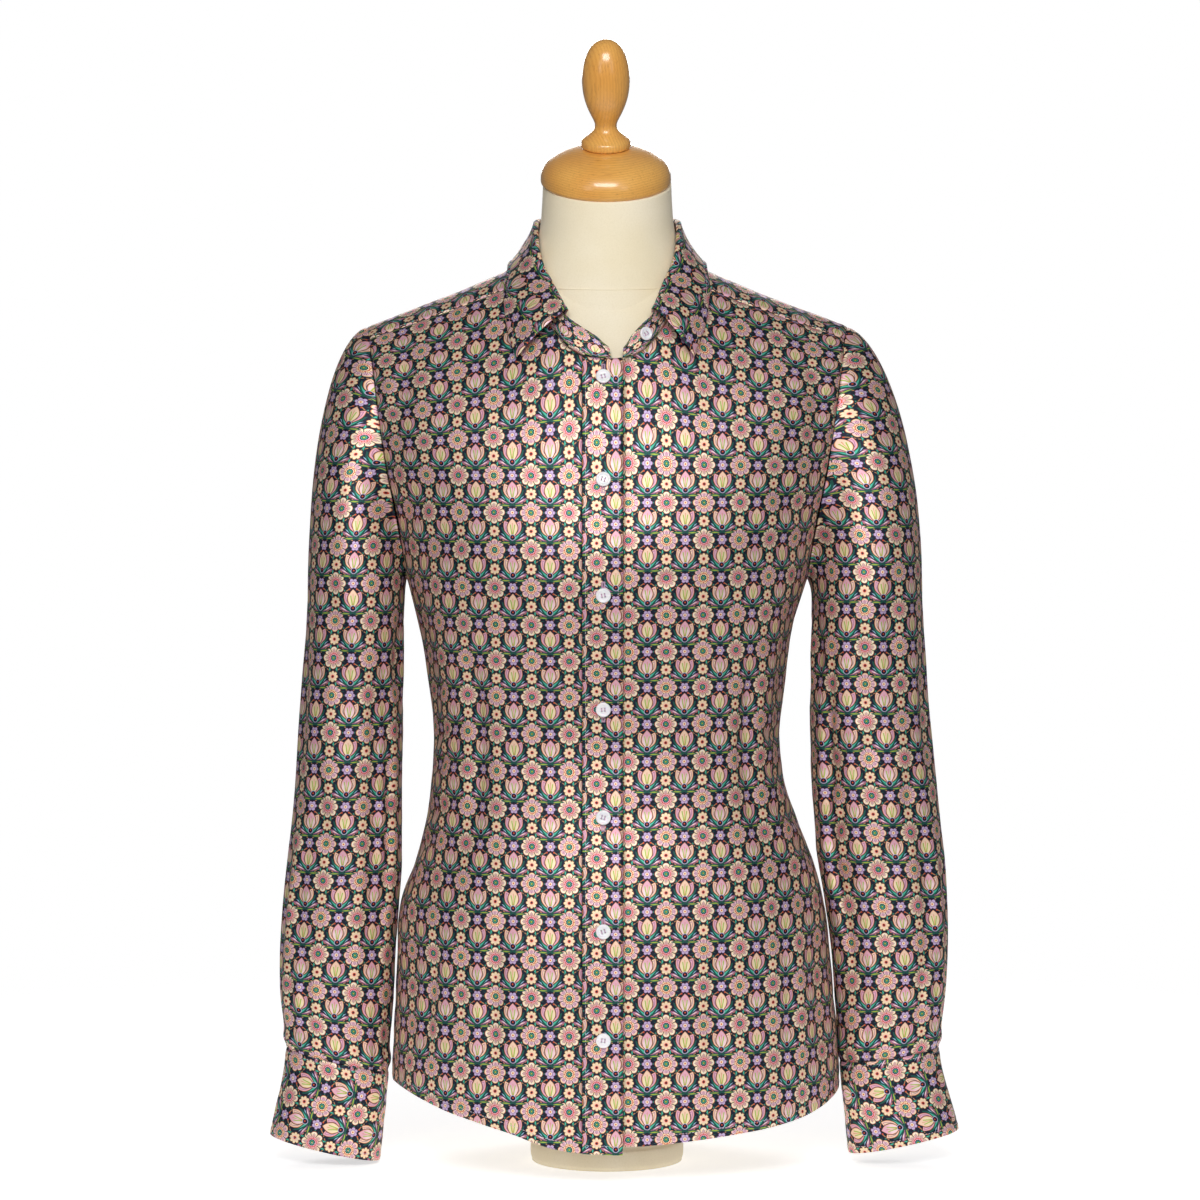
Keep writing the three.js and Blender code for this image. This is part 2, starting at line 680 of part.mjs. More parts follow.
// Collar: base on the neckline, top edge from its table, signed t from -1 to 1 round the back
function standBase(t, side) {
  const along = side < 0 ? t : t + 0.048 * (1 - ease(t, 0, 0.25));
  const x = lookup(NECKLINE, along, 'x');
  const g = lookup(NECKLINE, along, 'g');
  const shift = side < 0 ? 3 * (1 - ease(t, 0, 0.19)) : 0;
  const toHole = new THREE.Vector2(-x, -25 - g).normalize().multiplyScalar(1.4);
  return overRidge(side * (x + toHole.x) + shift, g + toHole.y);
}

function standTop(t, side) {
  const wearer = side < 0 ? 'Right' : 'Left';
  const sign = side < 0 && t >= 0 ? -1 : 1;
  return new THREE.Vector3(
    sign * lookup(STAND_TOP, t, `x${wearer}`),
    lookup(STAND_TOP, t, `y${wearer}`),
    lookup(STAND_TOP, t, `z${wearer}`),
  );
}

// Values of t and side right round the collar, from the wearer's right end to the left end
function roundCollar(start) {
  const half = [0, 0.06, 0.12, 0.19, 0.26, 0.33, 0.4, 0.46, 0.52, 0.6, 0.67, 0.74, 0.82, 0.9, 1]
    .filter((t) => t >= start - 1e-9);
  const right = half.map((t) => ({ t, side: -1 }));
  const left = half.slice(0, -1).reverse().map((t) => ({ t, side: 1 }));
  return [...right, ...left];
}

function outwardAt(t, side) {
  const base = standBase(t, side);
  return new THREE.Vector3(base.x, base.y + 6, 0).normalize();
}

function makeStand() {
  const round = roundCollar(0);
  const points = steps(3).map((v) => round.map(({ t, side }) => {
    const endRound = t === 0 ? 0.16 : 0;
    const share = mix(0, 1 - endRound, v);
    return standBase(t, side).lerp(standTop(t, side), share);
  }));
  const normals = gridNormals(points, false, (r, c) => outwardAt(round[c].t, round[c].side));
  add('collar_stand', wall(points, normals, WALL), CLOTH_FINISH);
}

const FOLD_RADIUS = { front: 4.2, back: 2.3 }; // the roll opens towards the points
function makeLeaf() {
  const round = roundCollar(LEAF_START);
  const columns = round.map(({ t, side }) => {
    const top = standTop(t, side);
    const base = standBase(t, side);
    const up = top.clone().sub(base).normalize();
    const before = standTop(Math.max(t - 0.03, 0), side);
    const after = standTop(Math.min(t + 0.03, 1), side);
    const along = after.sub(before);
    const out = along.cross(up).normalize();
    if (out.dot(outwardAt(t, side)) < 0) out.negate();
    const radius = mix(FOLD_RADIUS.front, FOLD_RADIUS.back, ease(t, LEAF_START, 0.4));
    const centre = top.clone().addScaledVector(out, radius - 1.3).addScaledVector(up, SEAM + 0.1);
    const fold = [180, 120, 60, 0].map((angle) => centre.clone()
      .addScaledVector(out, radius * Math.cos(angle * DEGREE))
      .addScaledVector(up, radius * Math.sin(angle * DEGREE)));
    const x = side * (lookup(LEAF_EDGE, t, 'x') - (side > 0 ? lookup(LEAF_EDGE, t, 'leftIn') : 0));
    const edge = overRidge(x, lookup(LEAF_EDGE, t, 'g'), lookup(LEAF_EDGE, t, 'lift'));
    const start = fold[3];
    const fall = start.distanceTo(edge);
    const rise = overRidge(x, lookup(LEAF_EDGE, t, 'g'), 20).sub(overRidge(x, lookup(LEAF_EDGE, t, 'g'))).normalize();
    const flat = ease(Math.abs(t - 0.6), 0.02, 0.24); // the fall is straight beside the neck
    const a = start.clone().addScaledVector(up, -0.16 * fall).addScaledVector(out, mix(-0.04, 0.12, flat) * fall);
    const b = edge.clone().lerp(start, 0.3).addScaledVector(rise, mix(-0.08, 0.13, flat) * fall);
    const curve = new THREE.CubicBezierCurve3(start, a, b, edge);
    return [...fold, ...[0.2, 0.45, 0.72, 1].map((f) => curve.getPoint(f))];
  });
  const points = columns[0].map((_, r) => columns.map((column) => column[r]));
  const facing = (r, c) => outwardAt(round[c].t, round[c].side).add(new THREE.Vector3(0, 0, 0.6));
  const normals = gridNormals(points, false, facing);
  columns.forEach((column, c) => {
    const middle = column[0].clone().add(column[3]).multiplyScalar(0.5);
    for (let r = 0; r < 4; r += 1) normals[r][c] = column[r].clone().sub(middle).normalize();
  });
  add('collar_leaf', wall(points, normals, WALL), CLOTH_FINISH);
}

// Button with a rim and a thread shank under it, along +Z before it is placed
function buttonGeometry(radius) {
  const profile = [
    [0, 0], [1.5, 0], [1.5, 0.7], [radius - 0.9, 0.7], [radius, 1.4], [radius, 2.2],
    [radius - 1, 2.8], [radius - 1.9, 2.3], [0, 2.3],
  ].map(([r, y]) => new THREE.Vector2(r, y));
  return closeLathe(new THREE.LatheGeometry(profile, 12));
}

function closeLathe(geometry) {
  geometry.deleteAttribute('uv');
  geometry.deleteAttribute('normal');
  const merged = mergeVertices(geometry, 1e-4);
  const index = [...merged.index.array];
  const clean = [];
  for (let i = 0; i < index.length; i += 3) {
    const [a, b, c] = index.slice(i, i + 3);
    if (a !== b && b !== c && c !== a) clean.push(a, b, c);
  }
  return solid([...merged.attributes.position.array], clean);
}

function addButton(name, radius, foot, normal) {
  const mesh = add(name, buttonGeometry(radius), BUTTON_FINISH);
  mesh.quaternion.setFromUnitVectors(new THREE.Vector3(0, 1, 0), normal);
  mesh.position.copy(foot.clone().addScaledVector(normal, SEAM));
}

// Point and normal of the buttonhole band's face at a real height, between two of its rows
function bandPoint(z) {
  const rows = steps(DOWN_THE_BODY).map((v) => {
    const { h, drop } = climb(v, lookup(HEM, BUTTON_X, 'frontRight'), RIDGE - 112);
    const phi = phiAt(BUTTON_X, h, true);
    const normal = bodyNormal(phi, h);
    return bodyPoint(phi, h, drop).addScaledVector(normal, BAND_LIFT);
  });
  const above = rows.findIndex((row) => row.z > z);
  const [low, high] = [rows[above - 1], rows[above]];
  const up = high.clone().sub(low).normalize();
  const point = low.clone().lerp(high, (z - low.z) / (high.z - low.z));
  return { point, normal: new THREE.Vector3(1, 0, 0).cross(up) };
}

function makeButtons() {
  BUTTON_HEIGHTS.forEach((z, i) => {
    const { point, normal } = bandPoint(z);
    addButton(`button_front_${i + 1}`, BUTTON_RADIUS, point, normal);
  });
  const stand = standBase(0.11, 1).lerp(standTop(0.11, 1), 0.5);
  const along = standTop(0.19, 1).sub(standTop(0.06, 1));
  const up = standTop(0.11, 1).sub(standBase(0.11, 1));
  const normal = along.cross(up).normalize();
  if (normal.y > 0) normal.negate();
  addButton('button_stand', SMALL_BUTTON, stand.addScaledVector(normal, 0.3), normal);
  for (const [name, sleeve] of Object.entries(SLEEVES)) {
    const theta = (CUFF_START + CUFF_LAP - 12) * DEGREE;
    const z = mix(sleeve.cuffTop, sleeve.cuffEnd, 0.5);
    const at = sleevePoint(sleeve, theta, z, BAND_LIFT + 0.25);
    const across = sleevePoint(sleeve, theta + 0.05, z).sub(sleevePoint(sleeve, theta - 0.05, z));
    const upward = sleevePoint(sleeve, theta, z + 4).sub(sleevePoint(sleeve, theta, z - 4));
    const out = across.cross(upward).normalize();
    if (out.y < 0) out.negate();
    addButton(`button_cuff_${name}`, SMALL_BUTTON, at.addScaledVector(out, 0.15), out);
  }
}

// Dress form: a bag under the shirt, sewn along the ridge, joined to a neck
function formPoint(phi, h) {
  const inset = WALL + mix(FORM_EASE, FORM_CLEAR, ease(h, 590, 690));
  const inFront = Math.cos(phi) >= 0;
  const round = inFront ? FRONT_ROUND : BACK_ROUND;
  const sideName = Math.sin(phi) < 0 ? 'right' : 'left';
  const armhole = h > UNDERARM - 20 ? lookup(ARMHOLE, Math.max(h, UNDERARM), 'back') : 1e3;
  const half = Math.min(lookup(BODY, h, sideName), armhole) - inset - 4;
  const depth = lookup(BODY, h, inFront ? 'front' : 'back') - inset - 1;
  const x = signedPower(Math.sin(phi), round) * half;
  const y = -signedPower(Math.cos(phi), round) * depth;
  if (h <= CHEST) return new THREE.Vector3(x, y, h);
  const climbAngle = (h - CHEST) / (RIDGE - CHEST) * 90 * DEGREE;
  const dip = 4.4 * Math.exp(-(((Math.abs(x) - 66) / 17) ** 2)); // clears the yoke's bend at the neck
  const top = lookup(SHOULDER, Math.abs(x), 'z') - WALL - FORM_CLEAR - dip;
  return new THREE.Vector3(x, y * Math.cos(climbAngle), CHEST + (top - CHEST) * Math.sin(climbAngle));
}

function loft(rings) {
  const cols = rings[0].length;
  const positions = rings.flat().flatMap((p) => p.toArray());
  const index = [];
  for (let r = 0; r < rings.length - 1; r += 1) {
    for (let c = 0; c < cols; c += 1) {
      const [a, b] = [r * cols + c, r * cols + (c + 1) % cols];
      index.push(a, b, b + cols, a, b + cols, a + cols);
    }
  }
  const centre = (ring) => ring.reduce((sum, p) => sum.add(p), new THREE.Vector3()).divideScalar(cols);
  const closeRing = (ring, offset, flip) => {
    const middle = positions.length / 3;
    positions.push(...centre(ring).toArray());
    for (let c = 0; c < cols; c += 1) {
      const [a, b] = [offset + c, offset + (c + 1) % cols];
      index.push(...(flip ? [a, middle, b] : [a, b, middle]));
    }
  };
  closeRing(rings[0], 0, true);
  closeRing(rings[rings.length - 1], (rings.length - 1) * cols, false);
  return { positions, index };
}

const manifoldLibrary = await Module();
manifoldLibrary.setup();

function toManifold(geometry) {
  const merged = mergeVertices(geometry, 1e-4);
  const index = [];
  for (let i = 0; i < merged.index.count; i += 3) {
    const [a, b, c] = [0, 1, 2].map((k) => merged.index.getX(i + k));
    if (a !== b && b !== c && c !== a) index.push(a, b, c);
  }
  const mesh = new manifoldLibrary.Mesh({
    numProp: 3,
    vertProperties: new Float32Array(merged.attributes.position.array),
    triVerts: new Uint32Array(index),
  });
  return new manifoldLibrary.Manifold(mesh);
}

function fromManifold(body) {
  const mesh = body.getMesh();
  return solid([...mesh.vertProperties], [...mesh.triVerts]);
}

function makeForm() {
  const quarter = [0, 9, 16.5, 27, 40, 54, 70];
  const half = [...quarter, 90, ...quarter.slice(1).reverse().map((angle) => 180 - angle)];
  const around = [...half, ...half.map((angle) => 180 + angle)].map((angle) => angle * DEGREE);
  const heights = [FORM_BOTTOM, 160, 204, 245, 290, 335, 390, 455, 497, 540, 580, 615, 645, 668, 686, RIDGE];
  const torso = loft(heights.map((h) => around.map((phi) => formPoint(phi, h))));
  const neckRings = steps(6).map((f) => around.map((theta) => {
    const tilt = lookup(NECK, f, 'tilt') * DEGREE;
    const depth = lookup(NECK, f, 'depth') * Math.cos(theta);
    return new THREE.Vector3(
      lookup(NECK, f, 'half') * Math.sin(theta),
      lookup(NECK, f, 'y') - depth * Math.cos(tilt),
      lookup(NECK, f, 'z') - depth * Math.sin(tilt),
    );
  }));
  const neck = loft(neckRings);
  const joined = manifoldLibrary.Manifold.union(
    toManifold(solid(torso.positions, torso.index)),
    toManifold(solid(neck.positions, neck.index)),
  );
  add('form_body', fromManifold(joined), COVER_FINISH);
}

function makePlinth() {
  const top = FORM_BOTTOM - SEAM;
  const profile = [
    [0, 0], [PLINTH_RADIUS - 1, 0], [PLINTH_RADIUS, 1], [PLINTH_RADIUS, 14], [PLINTH_RADIUS - 3, 17],
    [PLINTH_RADIUS - 3, top], [0, top],
  ].map(([r, y]) => new THREE.Vector2(r, y));
  const geometry = closeLathe(new THREE.LatheGeometry(profile, 32)).rotateX(90 * DEGREE);
  add('form_plinth', geometry, COVER_FINISH);
}

// Wooden cap and finial, turned on one axis that leans forward
function makeCap() {
  const capProfile = [
    [0, 0], [48.8, 0], [50.1, 1.6], [50.3, 5], [49.8, 9.5], [47.9, 14], [44.3, 18.4], [39.3, 22],
    [33.2, 24.9], [26.8, 27], [21, 28.3], [19, CAP_HEIGHT], [0, CAP_HEIGHT],
  ];
  const finialProfile = [
    [0, 0], [18.4, 0], [18.9, 1], [18.9, 5], [16.2, 8], [12.4, 10.8], [9.6, 13.6], [8.4, 17.5],
    [9.3, 21], [12, 26.5], [14.6, 32.5], [16.9, 40], [18.2, 49], [18.3, 57], [17.2, 65.5],
    [14.4, 74.5], [10.4, 80.6], [5.6, 84], [0, 85.2],
  ];
  const pieces = [
    ['neck_cap', capProfile, SEAM, 28],
    ['finial', finialProfile, SEAM + CAP_HEIGHT + SEAM, 18],
  ];
  for (const [name, outline, rise, sides] of pieces) {
    const profile = outline.map(([r, y]) => new THREE.Vector2(r, y));
    const mesh = add(name, closeLathe(new THREE.LatheGeometry(profile, sides)), WOOD_FINISH);
    mesh.rotation.x = (90 + CAP_TILT) * DEGREE;
    const axis = new THREE.Vector3(0, -Math.sin(CAP_TILT * DEGREE), Math.cos(CAP_TILT * DEGREE));
    mesh.position.set(...CAP_CENTRE).addScaledVector(axis, rise);
  }
}

makeFront('front_right', -1, Math.abs(BAND_SEAM), 'frontRight');
makeFront('front_left', 1, BAND_EDGE + SEAM, 'frontLeft');
makeBand('band_right', BAND_SEAM - 1, BAND_EDGE, BAND_LIFT, 'frontRight');
makeBand('band_left', BAND_SEAM + 2 * SEAM, BAND_EDGE, 0, 'frontLeft');
makeBack();
makeYoke();
makeSleeve('sleeve_right', SLEEVES.right);
makeSleeve('sleeve_left', SLEEVES.left);
makeCuff('cuff_right', SLEEVES.right);
makeCuff('cuff_left', SLEEVES.left);
makeSleevePlacket('sleeve_placket_right', SLEEVES.right);
makeSleevePlacket('sleeve_placket_left', SLEEVES.left);
makeStand();
makeLeaf();
makeButtons();
makeForm();
makePlinth();
makeCap();

export default part;
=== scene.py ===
"""A printed silk shirt worn by a limbless dress form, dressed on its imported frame.

Sizes are in millimetres and become metres where a mesh is made. The shirt's front faces -Y.
"right" and "left" are the wearer's: the wearer's right is at -X, on the left of the picture.
"""

from __future__ import annotations

import json
import logging
import math
from dataclasses import dataclass, field
from enum import Enum
from typing import Sequence

import bpy
import numpy as np
from mathutils import Matrix, Vector

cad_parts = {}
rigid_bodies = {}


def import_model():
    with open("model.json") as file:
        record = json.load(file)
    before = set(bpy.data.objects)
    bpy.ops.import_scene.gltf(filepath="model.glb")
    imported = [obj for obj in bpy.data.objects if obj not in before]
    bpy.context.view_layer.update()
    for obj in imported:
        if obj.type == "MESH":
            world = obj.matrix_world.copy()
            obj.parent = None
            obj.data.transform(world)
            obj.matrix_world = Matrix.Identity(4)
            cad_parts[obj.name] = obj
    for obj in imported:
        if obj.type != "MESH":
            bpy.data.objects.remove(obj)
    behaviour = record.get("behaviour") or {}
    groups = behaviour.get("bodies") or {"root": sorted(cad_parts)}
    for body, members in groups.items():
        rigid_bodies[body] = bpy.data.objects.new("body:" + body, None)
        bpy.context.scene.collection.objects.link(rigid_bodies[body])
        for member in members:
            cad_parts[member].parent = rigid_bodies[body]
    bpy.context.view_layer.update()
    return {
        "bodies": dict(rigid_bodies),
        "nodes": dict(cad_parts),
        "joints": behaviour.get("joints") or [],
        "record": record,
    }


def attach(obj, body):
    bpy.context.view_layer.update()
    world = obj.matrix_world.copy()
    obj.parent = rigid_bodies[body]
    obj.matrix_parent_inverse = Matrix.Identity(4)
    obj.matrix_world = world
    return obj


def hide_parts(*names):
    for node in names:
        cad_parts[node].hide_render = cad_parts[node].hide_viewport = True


Array = np.ndarray
LOG = logging.getLogger("shirt")
MM = 0.001
BODY = "root"
SEAM = 0.3  # between pieces that are sewn together
WALL = 1.2  # cloth of the frame's solids
CLOTH = 0.9  # cloth as shown
HEM_STITCH = 6.5  # from the hem's edge to its stitches
HEM_READ = 60.0  # height at which a panel's width is read to place its hem
LOWER_ROWS = 13 / 19  # share of a panel's rows that lie below the chest
EASED_EDGE = 0.06 / 15  # share of the neckline for a millimetre beside its front point
NECK_CORNER = 0.44  # place on the neckline where the yoke's front seam ends
NECK_SIDE = 62.5  # that place's distance from the middle
YOKE_FRONT = 656  # nominal height of the yoke's front seams
YOKE_BACK = 620  # and about that of its back seam, for its width there


# Shared sizes and tables


def mix(start: Array | float, end: Array | float, share: Array | float) -> Array:
    """Goes from start to end by a share."""
    return start + (end - start) * share


def ease(value: Array | float, low: float, high: float) -> Array:
    """Rises softly from 0 at low to 1 at high."""
    t = np.clip((np.asarray(value, float) - low) / (high - low), 0, 1)
    return t * t * (3 - 2 * t)


def signed_power(value: Array, power: float) -> Array:
    """Power that keeps the sign."""
    return np.sign(value) * np.abs(value) ** power


def unit(vectors: Array) -> Array:
    """Vectors at length 1."""
    return vectors / np.maximum(np.linalg.norm(vectors, axis=-1, keepdims=True), 1e-12)


def run_along(points: Array, axis: int = 0) -> Array:
    """Lengths along a line of points, or along one axis of a grid of points.

    Args:
        points: Points, with their coordinates on the last axis.
        axis: The axis to go along.

    Returns:
        The length from the start to each point.
    """
    steps = np.linalg.norm(np.diff(points, axis=axis), axis=-1)
    pad = [(0, 0)] * steps.ndim
    pad[axis] = (1, 0)
    return np.pad(steps, pad).cumsum(axis=axis)


def ring_quads(rings: int, sides: int) -> Array:
    """Quads between rings of points that follow one another."""
    ring, side = (n.ravel() for n in np.meshgrid(np.arange(rings - 1), np.arange(sides), indexing="ij"))
    a, b = ring * sides + side, ring * sides + (side + 1) % sides
    return np.stack((a, b, b + sides, a + sides), axis=1)


def circle(radius: float, z: float, sides: int) -> Array:
    """Points on a circle round the Z axis."""
    angle = np.arange(sides) * 2 * math.pi / sides
    return np.stack((radius * np.cos(angle), radius * np.sin(angle), 0 * angle + z), axis=-1)


def joined(parts: Sequence[tuple[Array, Array]]) -> tuple[Array, Array]:
    """Joins meshes, each of points and faces, into one."""
    starts = np.cumsum([0] + [len(points) for points, _ in parts])
    faces = [quads + start for (_, quads), start in zip(parts, starts)]
    return np.concatenate([points for points, _ in parts]), np.concatenate(faces)


def curve(start: Array, near: Array, far: Array, end: Array, t: Array) -> Array:
    """Points of a Bezier curve at shares t of its way."""
    return (1 - t) ** 3 * start + 3 * (1 - t) ** 2 * t * near + 3 * (1 - t) * t**2 * far + t**3 * end


def bell(offset: Array, width: float, height: Array, low: float, high: float) -> Array:
    """A soft bell across a fold that fades out at both of its ends.

    Args:
        offset: Distance across the fold, in the unit of width.
        width: Half width of the fold.
        height: Height along the fold.
        low: Height at which the fold begins.
        high: Height at which it ends.

    Returns:
        Values from 0 to 1.
    """
    fade = 0.35 * (high - low)
    along = ease(height, low, low + fade) * (1 - ease(height, high - fade, high))
    return np.exp(-((offset / width) ** 2)) * along


def unevenness(a: Array, b: Array, size: float, seed: float) -> Array:
    """Smooth, irregular waves over two coordinates in millimetres.

    Args:
        a: First coordinate.
        b: Second coordinate.
        size: Rough distance between two waves.
        seed: Any number; it picks the pattern.

    Returns:
        Values of about -1 to 1.
    """
    total = np.zeros(np.broadcast(a, b).shape)
    for step in range(5):
        angle = 2.4 * step + seed
        rate = 2 * math.pi * (0.7 + 0.3 * step) / size
        bend = 1.1 * np.sin(rate * 0.43 * (a * math.sin(angle) - b * math.cos(angle)) + seed)
        along = rate * (a * math.cos(angle) + b * math.sin(angle))
        total += np.sin(along + bend + 1.7 * seed) / (1 + 0.5 * step)
    return total / 2.6


@dataclass(frozen=True)
class Table:
    """Rows of sizes, read on a smooth curve through them."""

    columns: tuple[str, ...]
    rows: tuple[tuple[float, ...], ...]

    def at(self, key: Array | float, column: str) -> Array:
        """Reads one column at a key.

        Args:
            key: Value in the first column's unit.
            column: Name of the column to read.

        Returns:
            The column's value there; beyond the ends it stays level.
        """
        grid = np.array(self.rows, float)
        if grid[0, 0] > grid[-1, 0]:
            grid = grid[::-1]
        keys = grid[:, 0]
        values = grid[:, self.columns.index(column)]
        slopes = np.diff(values) / np.diff(keys)
        tangents = np.concatenate((slopes[:1], (slopes[:-1] + slopes[1:]) / 2, slopes[-1:]))
        key = np.asarray(key, float)
        i = np.clip(np.searchsorted(keys, key, side="right") - 1, 0, len(keys) - 2)
        span = keys[i + 1] - keys[i]
        f = np.clip((key - keys[i]) / span, 0, 1)
        rise = (2 * f**3 - 3 * f**2 + 1) * values[i] + (3 * f**2 - 2 * f**3) * values[i + 1]
        return rise + span * ((f**3 - 2 * f**2 + f) * tangents[i] + (f**3 - f**2) * tangents[i + 1])


SECTIONS = Table(
    ("h", "right", "left", "front", "back"),
    (
        (0, 168, 182, 127, 124), (60, 167, 181, 127, 124), (110, 166, 178, 126, 124),
        (157, 164, 175, 125, 123), (204, 161.2, 169, 121, 118), (235, 150, 161, 116, 111),
        (267, 141, 148.5, 109, 103), (298, 136.5, 138.5, 104, 96), (329, 135, 134.5, 102, 93),
        (361, 137.5, 136.6, 106, 94), (392, 142, 141, 114, 98), (423, 147.5, 146, 123, 103),
        (455, 155, 155, 129, 107), (490, 163, 163, 129, 111), (540, 178, 178, 118, 113),
        (580, 190, 190, 106, 112), (620, 200, 200, 94, 108), (660, 206, 206, 86, 100),
        (700, 210, 210, 82, 92),
    ),
)
SHOULDER = Table(
    ("x", "z"),
    (
        (0, 730), (40, 722), (56, 712), (76, 696.5), (90, 690), (120, 677.5), (152, 665), (185, 652.5),
        (215, 638),
    ),
)
ARMHOLE = Table(
    ("h", "front", "back"),
    (
        (455, 155, 155), (470, 156.5, 156), (490, 160, 158.5), (515, 164.5, 162), (540, 169.5, 166),
        (580, 176, 171), (620, 181, 177), (660, 184.5, 183), (700, 187, 187),
    ),
)
NECKLINE = Table(
    ("t", "x", "g"),
    (
        (0, 0, -112), (0.06, 15, -110.5), (0.12, 28, -106), (0.19, 40, -96), (0.26, 50, -82),
        (0.33, 57, -66), (0.4, 61.3, -52), (0.44, 62.5, -44), (0.52, 64.3, -22), (0.6, 64.5, 0),
        (0.67, 63, 14), (0.74, 58, 28), (0.82, 46, 40), (0.9, 30, 49), (0.95, 15, 53.5), (1, 0, 55),
    ),
)
HEM = Table(
    ("x", "front_right", "front_left", "back"),
    (
        (-170, 67, 67, 67), (-157, 65, 65, 62), (-143, 60.5, 60, 57), (-124, 54, 54, 50),
        (-100, 47.5, 47, 43), (-71, 39.5, 39, 35), (-50, 32, 35, 30.5), (-30, 27.5, 32, 27.5),
        (0, 25.5, 31, 26), (30, 25.5, 32, 27.5), (54, 27, 34, 31), (105, 40, 39.5, 43),
        (128, 43, 42.5, 49), (152, 48, 47.5, 54), (168, 54, 53.5, 57), (181, 60, 60, 60),
    ),
)
BODY_FOLDS = Table(
    ("phi", "low", "high", "width", "depth"),
    (
        (-44, 225, 432, 5, 4.2), (50, 232, 415, 5, 4.6), (-74, 300, 470, 9, 2.6), (76, 290, 470, 9, 2.4),
        (146, 215, 470, 6, 4), (-146, 215, 470, 6, 4), (118, 40, 250, 10, 3), (-122, 40, 240, 10, 3.4),
        (-62, 45, 215, 8, 2.2), (66, 45, 205, 8, 2.8),
    ),
)

# Finer creases of the body: from one place to another, in degrees round it and in height
BODY_CREASES = Table(
    ("a0", "b0", "a1", "b1", "width", "depth"),
    (
        # The stitched lines of the four waist darts
        (-44.3, 236, -44.6, 428, 1.6, 1.1), (50.2, 240, 49.8, 414, 1.6, 1.2),
        (146, 228, 146.5, 462, 1.6, 1.1), (-146, 228, -146.5, 462, 1.6, 1.1),
        # Bust darts
        (-84, 425, -57, 447, 2.2, 1.2), (85, 428, 60, 446, 2.2, 1.1),
        # Drags from the darts to the side seams, right side
        (-47, 352, -84, 330, 6, 1.5), (-48, 322, -82, 309, 5, 1.7), (-50, 296, -86, 274, 6.5, 1.4),
        (-52, 378, -80, 371, 5, 1), (-56, 262, -88, 240, 7, 1.2),
        # The same on the left side
        (54, 346, 86, 336, 5.5, 1.6), (56, 318, 84, 300, 6, 1.5), (55, 288, 88, 268, 6, 1.6),
        (60, 372, 82, 366, 4.5, 1), (60, 256, 86, 236, 7, 1.1),
        # Soft drags from the armholes to the bust
        (-72, 500, -38, 535, 10, 1.7), (-66, 475, -36, 492, 8, 1.2), (70, 504, 40, 532, 9, 1.6),
        (68, 478, 38, 488, 8, 1.1), (-60, 560, -44, 628, 9, 1.2), (58, 556, 46, 622, 9, 1.3),
        # Pulls beside the buttons
        (4, 450, 20, 464, 4.5, 0.8), (-3, 449, -19, 440, 4.5, 0.7), (4, 362, 17, 352, 5, 0.7),
        (-3, 361, -18, 371, 5, 0.7), (3, 279, 16, 290, 5, 0.6), (-4, 279, -17, 268, 5, 0.6),
        # Hanging folds of the skirt
        (-26, 52, -24, 215, 7, 1.6), (-52, 60, -47, 205, 8, 1.8), (27, 50, 26, 190, 7.5, 1.5),
        (44, 55, 47, 222, 8, 1.7), (12, 40, 11, 150, 6, 0.8),
        # Back: sway folds over the waist, hanging folds below, drags under the yoke
        (168, 322, 204, 330, 9, 2), (160, 296, 196, 290, 8, 1.8), (172, 352, 206, 347, 8, 1.5),
        (120, 330, 142, 316, 6, 1.6), (116, 300, 140, 292, 6, 1.3), (-120, 334, -142, 322, 6, 1.6),
        (-114, 296, -140, 286, 6, 1.4), (164, 40, 166, 205, 9, 2.2), (-165, 40, -160, 190, 9, 2),
        (140, 50, 143, 196, 8, 1.6), (-140, 50, -138, 200, 8, 1.8), (136, 470, 158, 560, 10, 1.6),
        (-134, 468, -156, 550, 10, 1.7), (112, 500, 132, 540, 8, 1.5), (-110, 498, -130, 545, 8, 1.4),
        (176, 520, 172, 640, 11, 1),
    ),
)

# Creases of the sleeves: degrees round the sleeve (0 outside, 90 front, 180 body side), height
SLEEVE_CREASES = Table(
    ("a0", "b0", "a1", "b1", "width", "depth"),
    (
        (132, 150, 126, 420, 4.5, 1.8), (52, 150, 60, 300, 6, 1.5), (74, 250, 48, 330, 6.5, 1.4),
        (104, 210, 78, 262, 5.5, 1.2), (112, 300, 84, 352, 6, 1.3), (30, 300, 22, 420, 7, 1.4),
        (16, 150, 24, 262, 6.5, 1.3), (150, 250, 118, 285, 5, 1.5), (156, 225, 126, 238, 5, 1.4),
        (160, 275, 130, 322, 5.5, 1.3), (96, 120, 104, 190, 5, 1.2), (66, 104, 60, 172, 4.5, 1.1),
        (38, 112, 34, 180, 5, 1), (200, 262, 232, 290, 6, 1.8), (198, 236, 236, 244, 6, 1.6),
        (210, 304, 246, 338, 7, 1.6), (262, 150, 254, 300, 7, 1.6), (306, 170, 312, 330, 8, 1.7),
        (334, 280, 342, 420, 8, 1.4), (282, 330, 270, 430, 8, 1.3), (180, 360, 186, 430, 6, 1.6),
        (150, 372, 158, 436, 6, 1.5), (70, 380, 62, 470, 8, 1.2),
    ),
)

# Small gathers where the sleeve is set into the cuff; they fade out over their reach
GATHERS = Table(
    ("angle", "width", "depth", "reach"),
    (
        (8, 3.4, 0.9, 26), (27, 2.8, 0.7, 20), (49, 3.6, 1, 34), (71, 3, 0.8, 22), (88, 3.4, 0.9, 30),
        (109, 2.6, 0.8, 24), (128, 3.8, 1.2, 38), (152, 3.2, 0.9, 26), (178, 3.6, 1, 30),
        (204, 3, 0.9, 22), (228, 3.8, 1.2, 36), (322, 3.2, 1, 28), (343, 3.8, 1.1, 34),
    ),
)

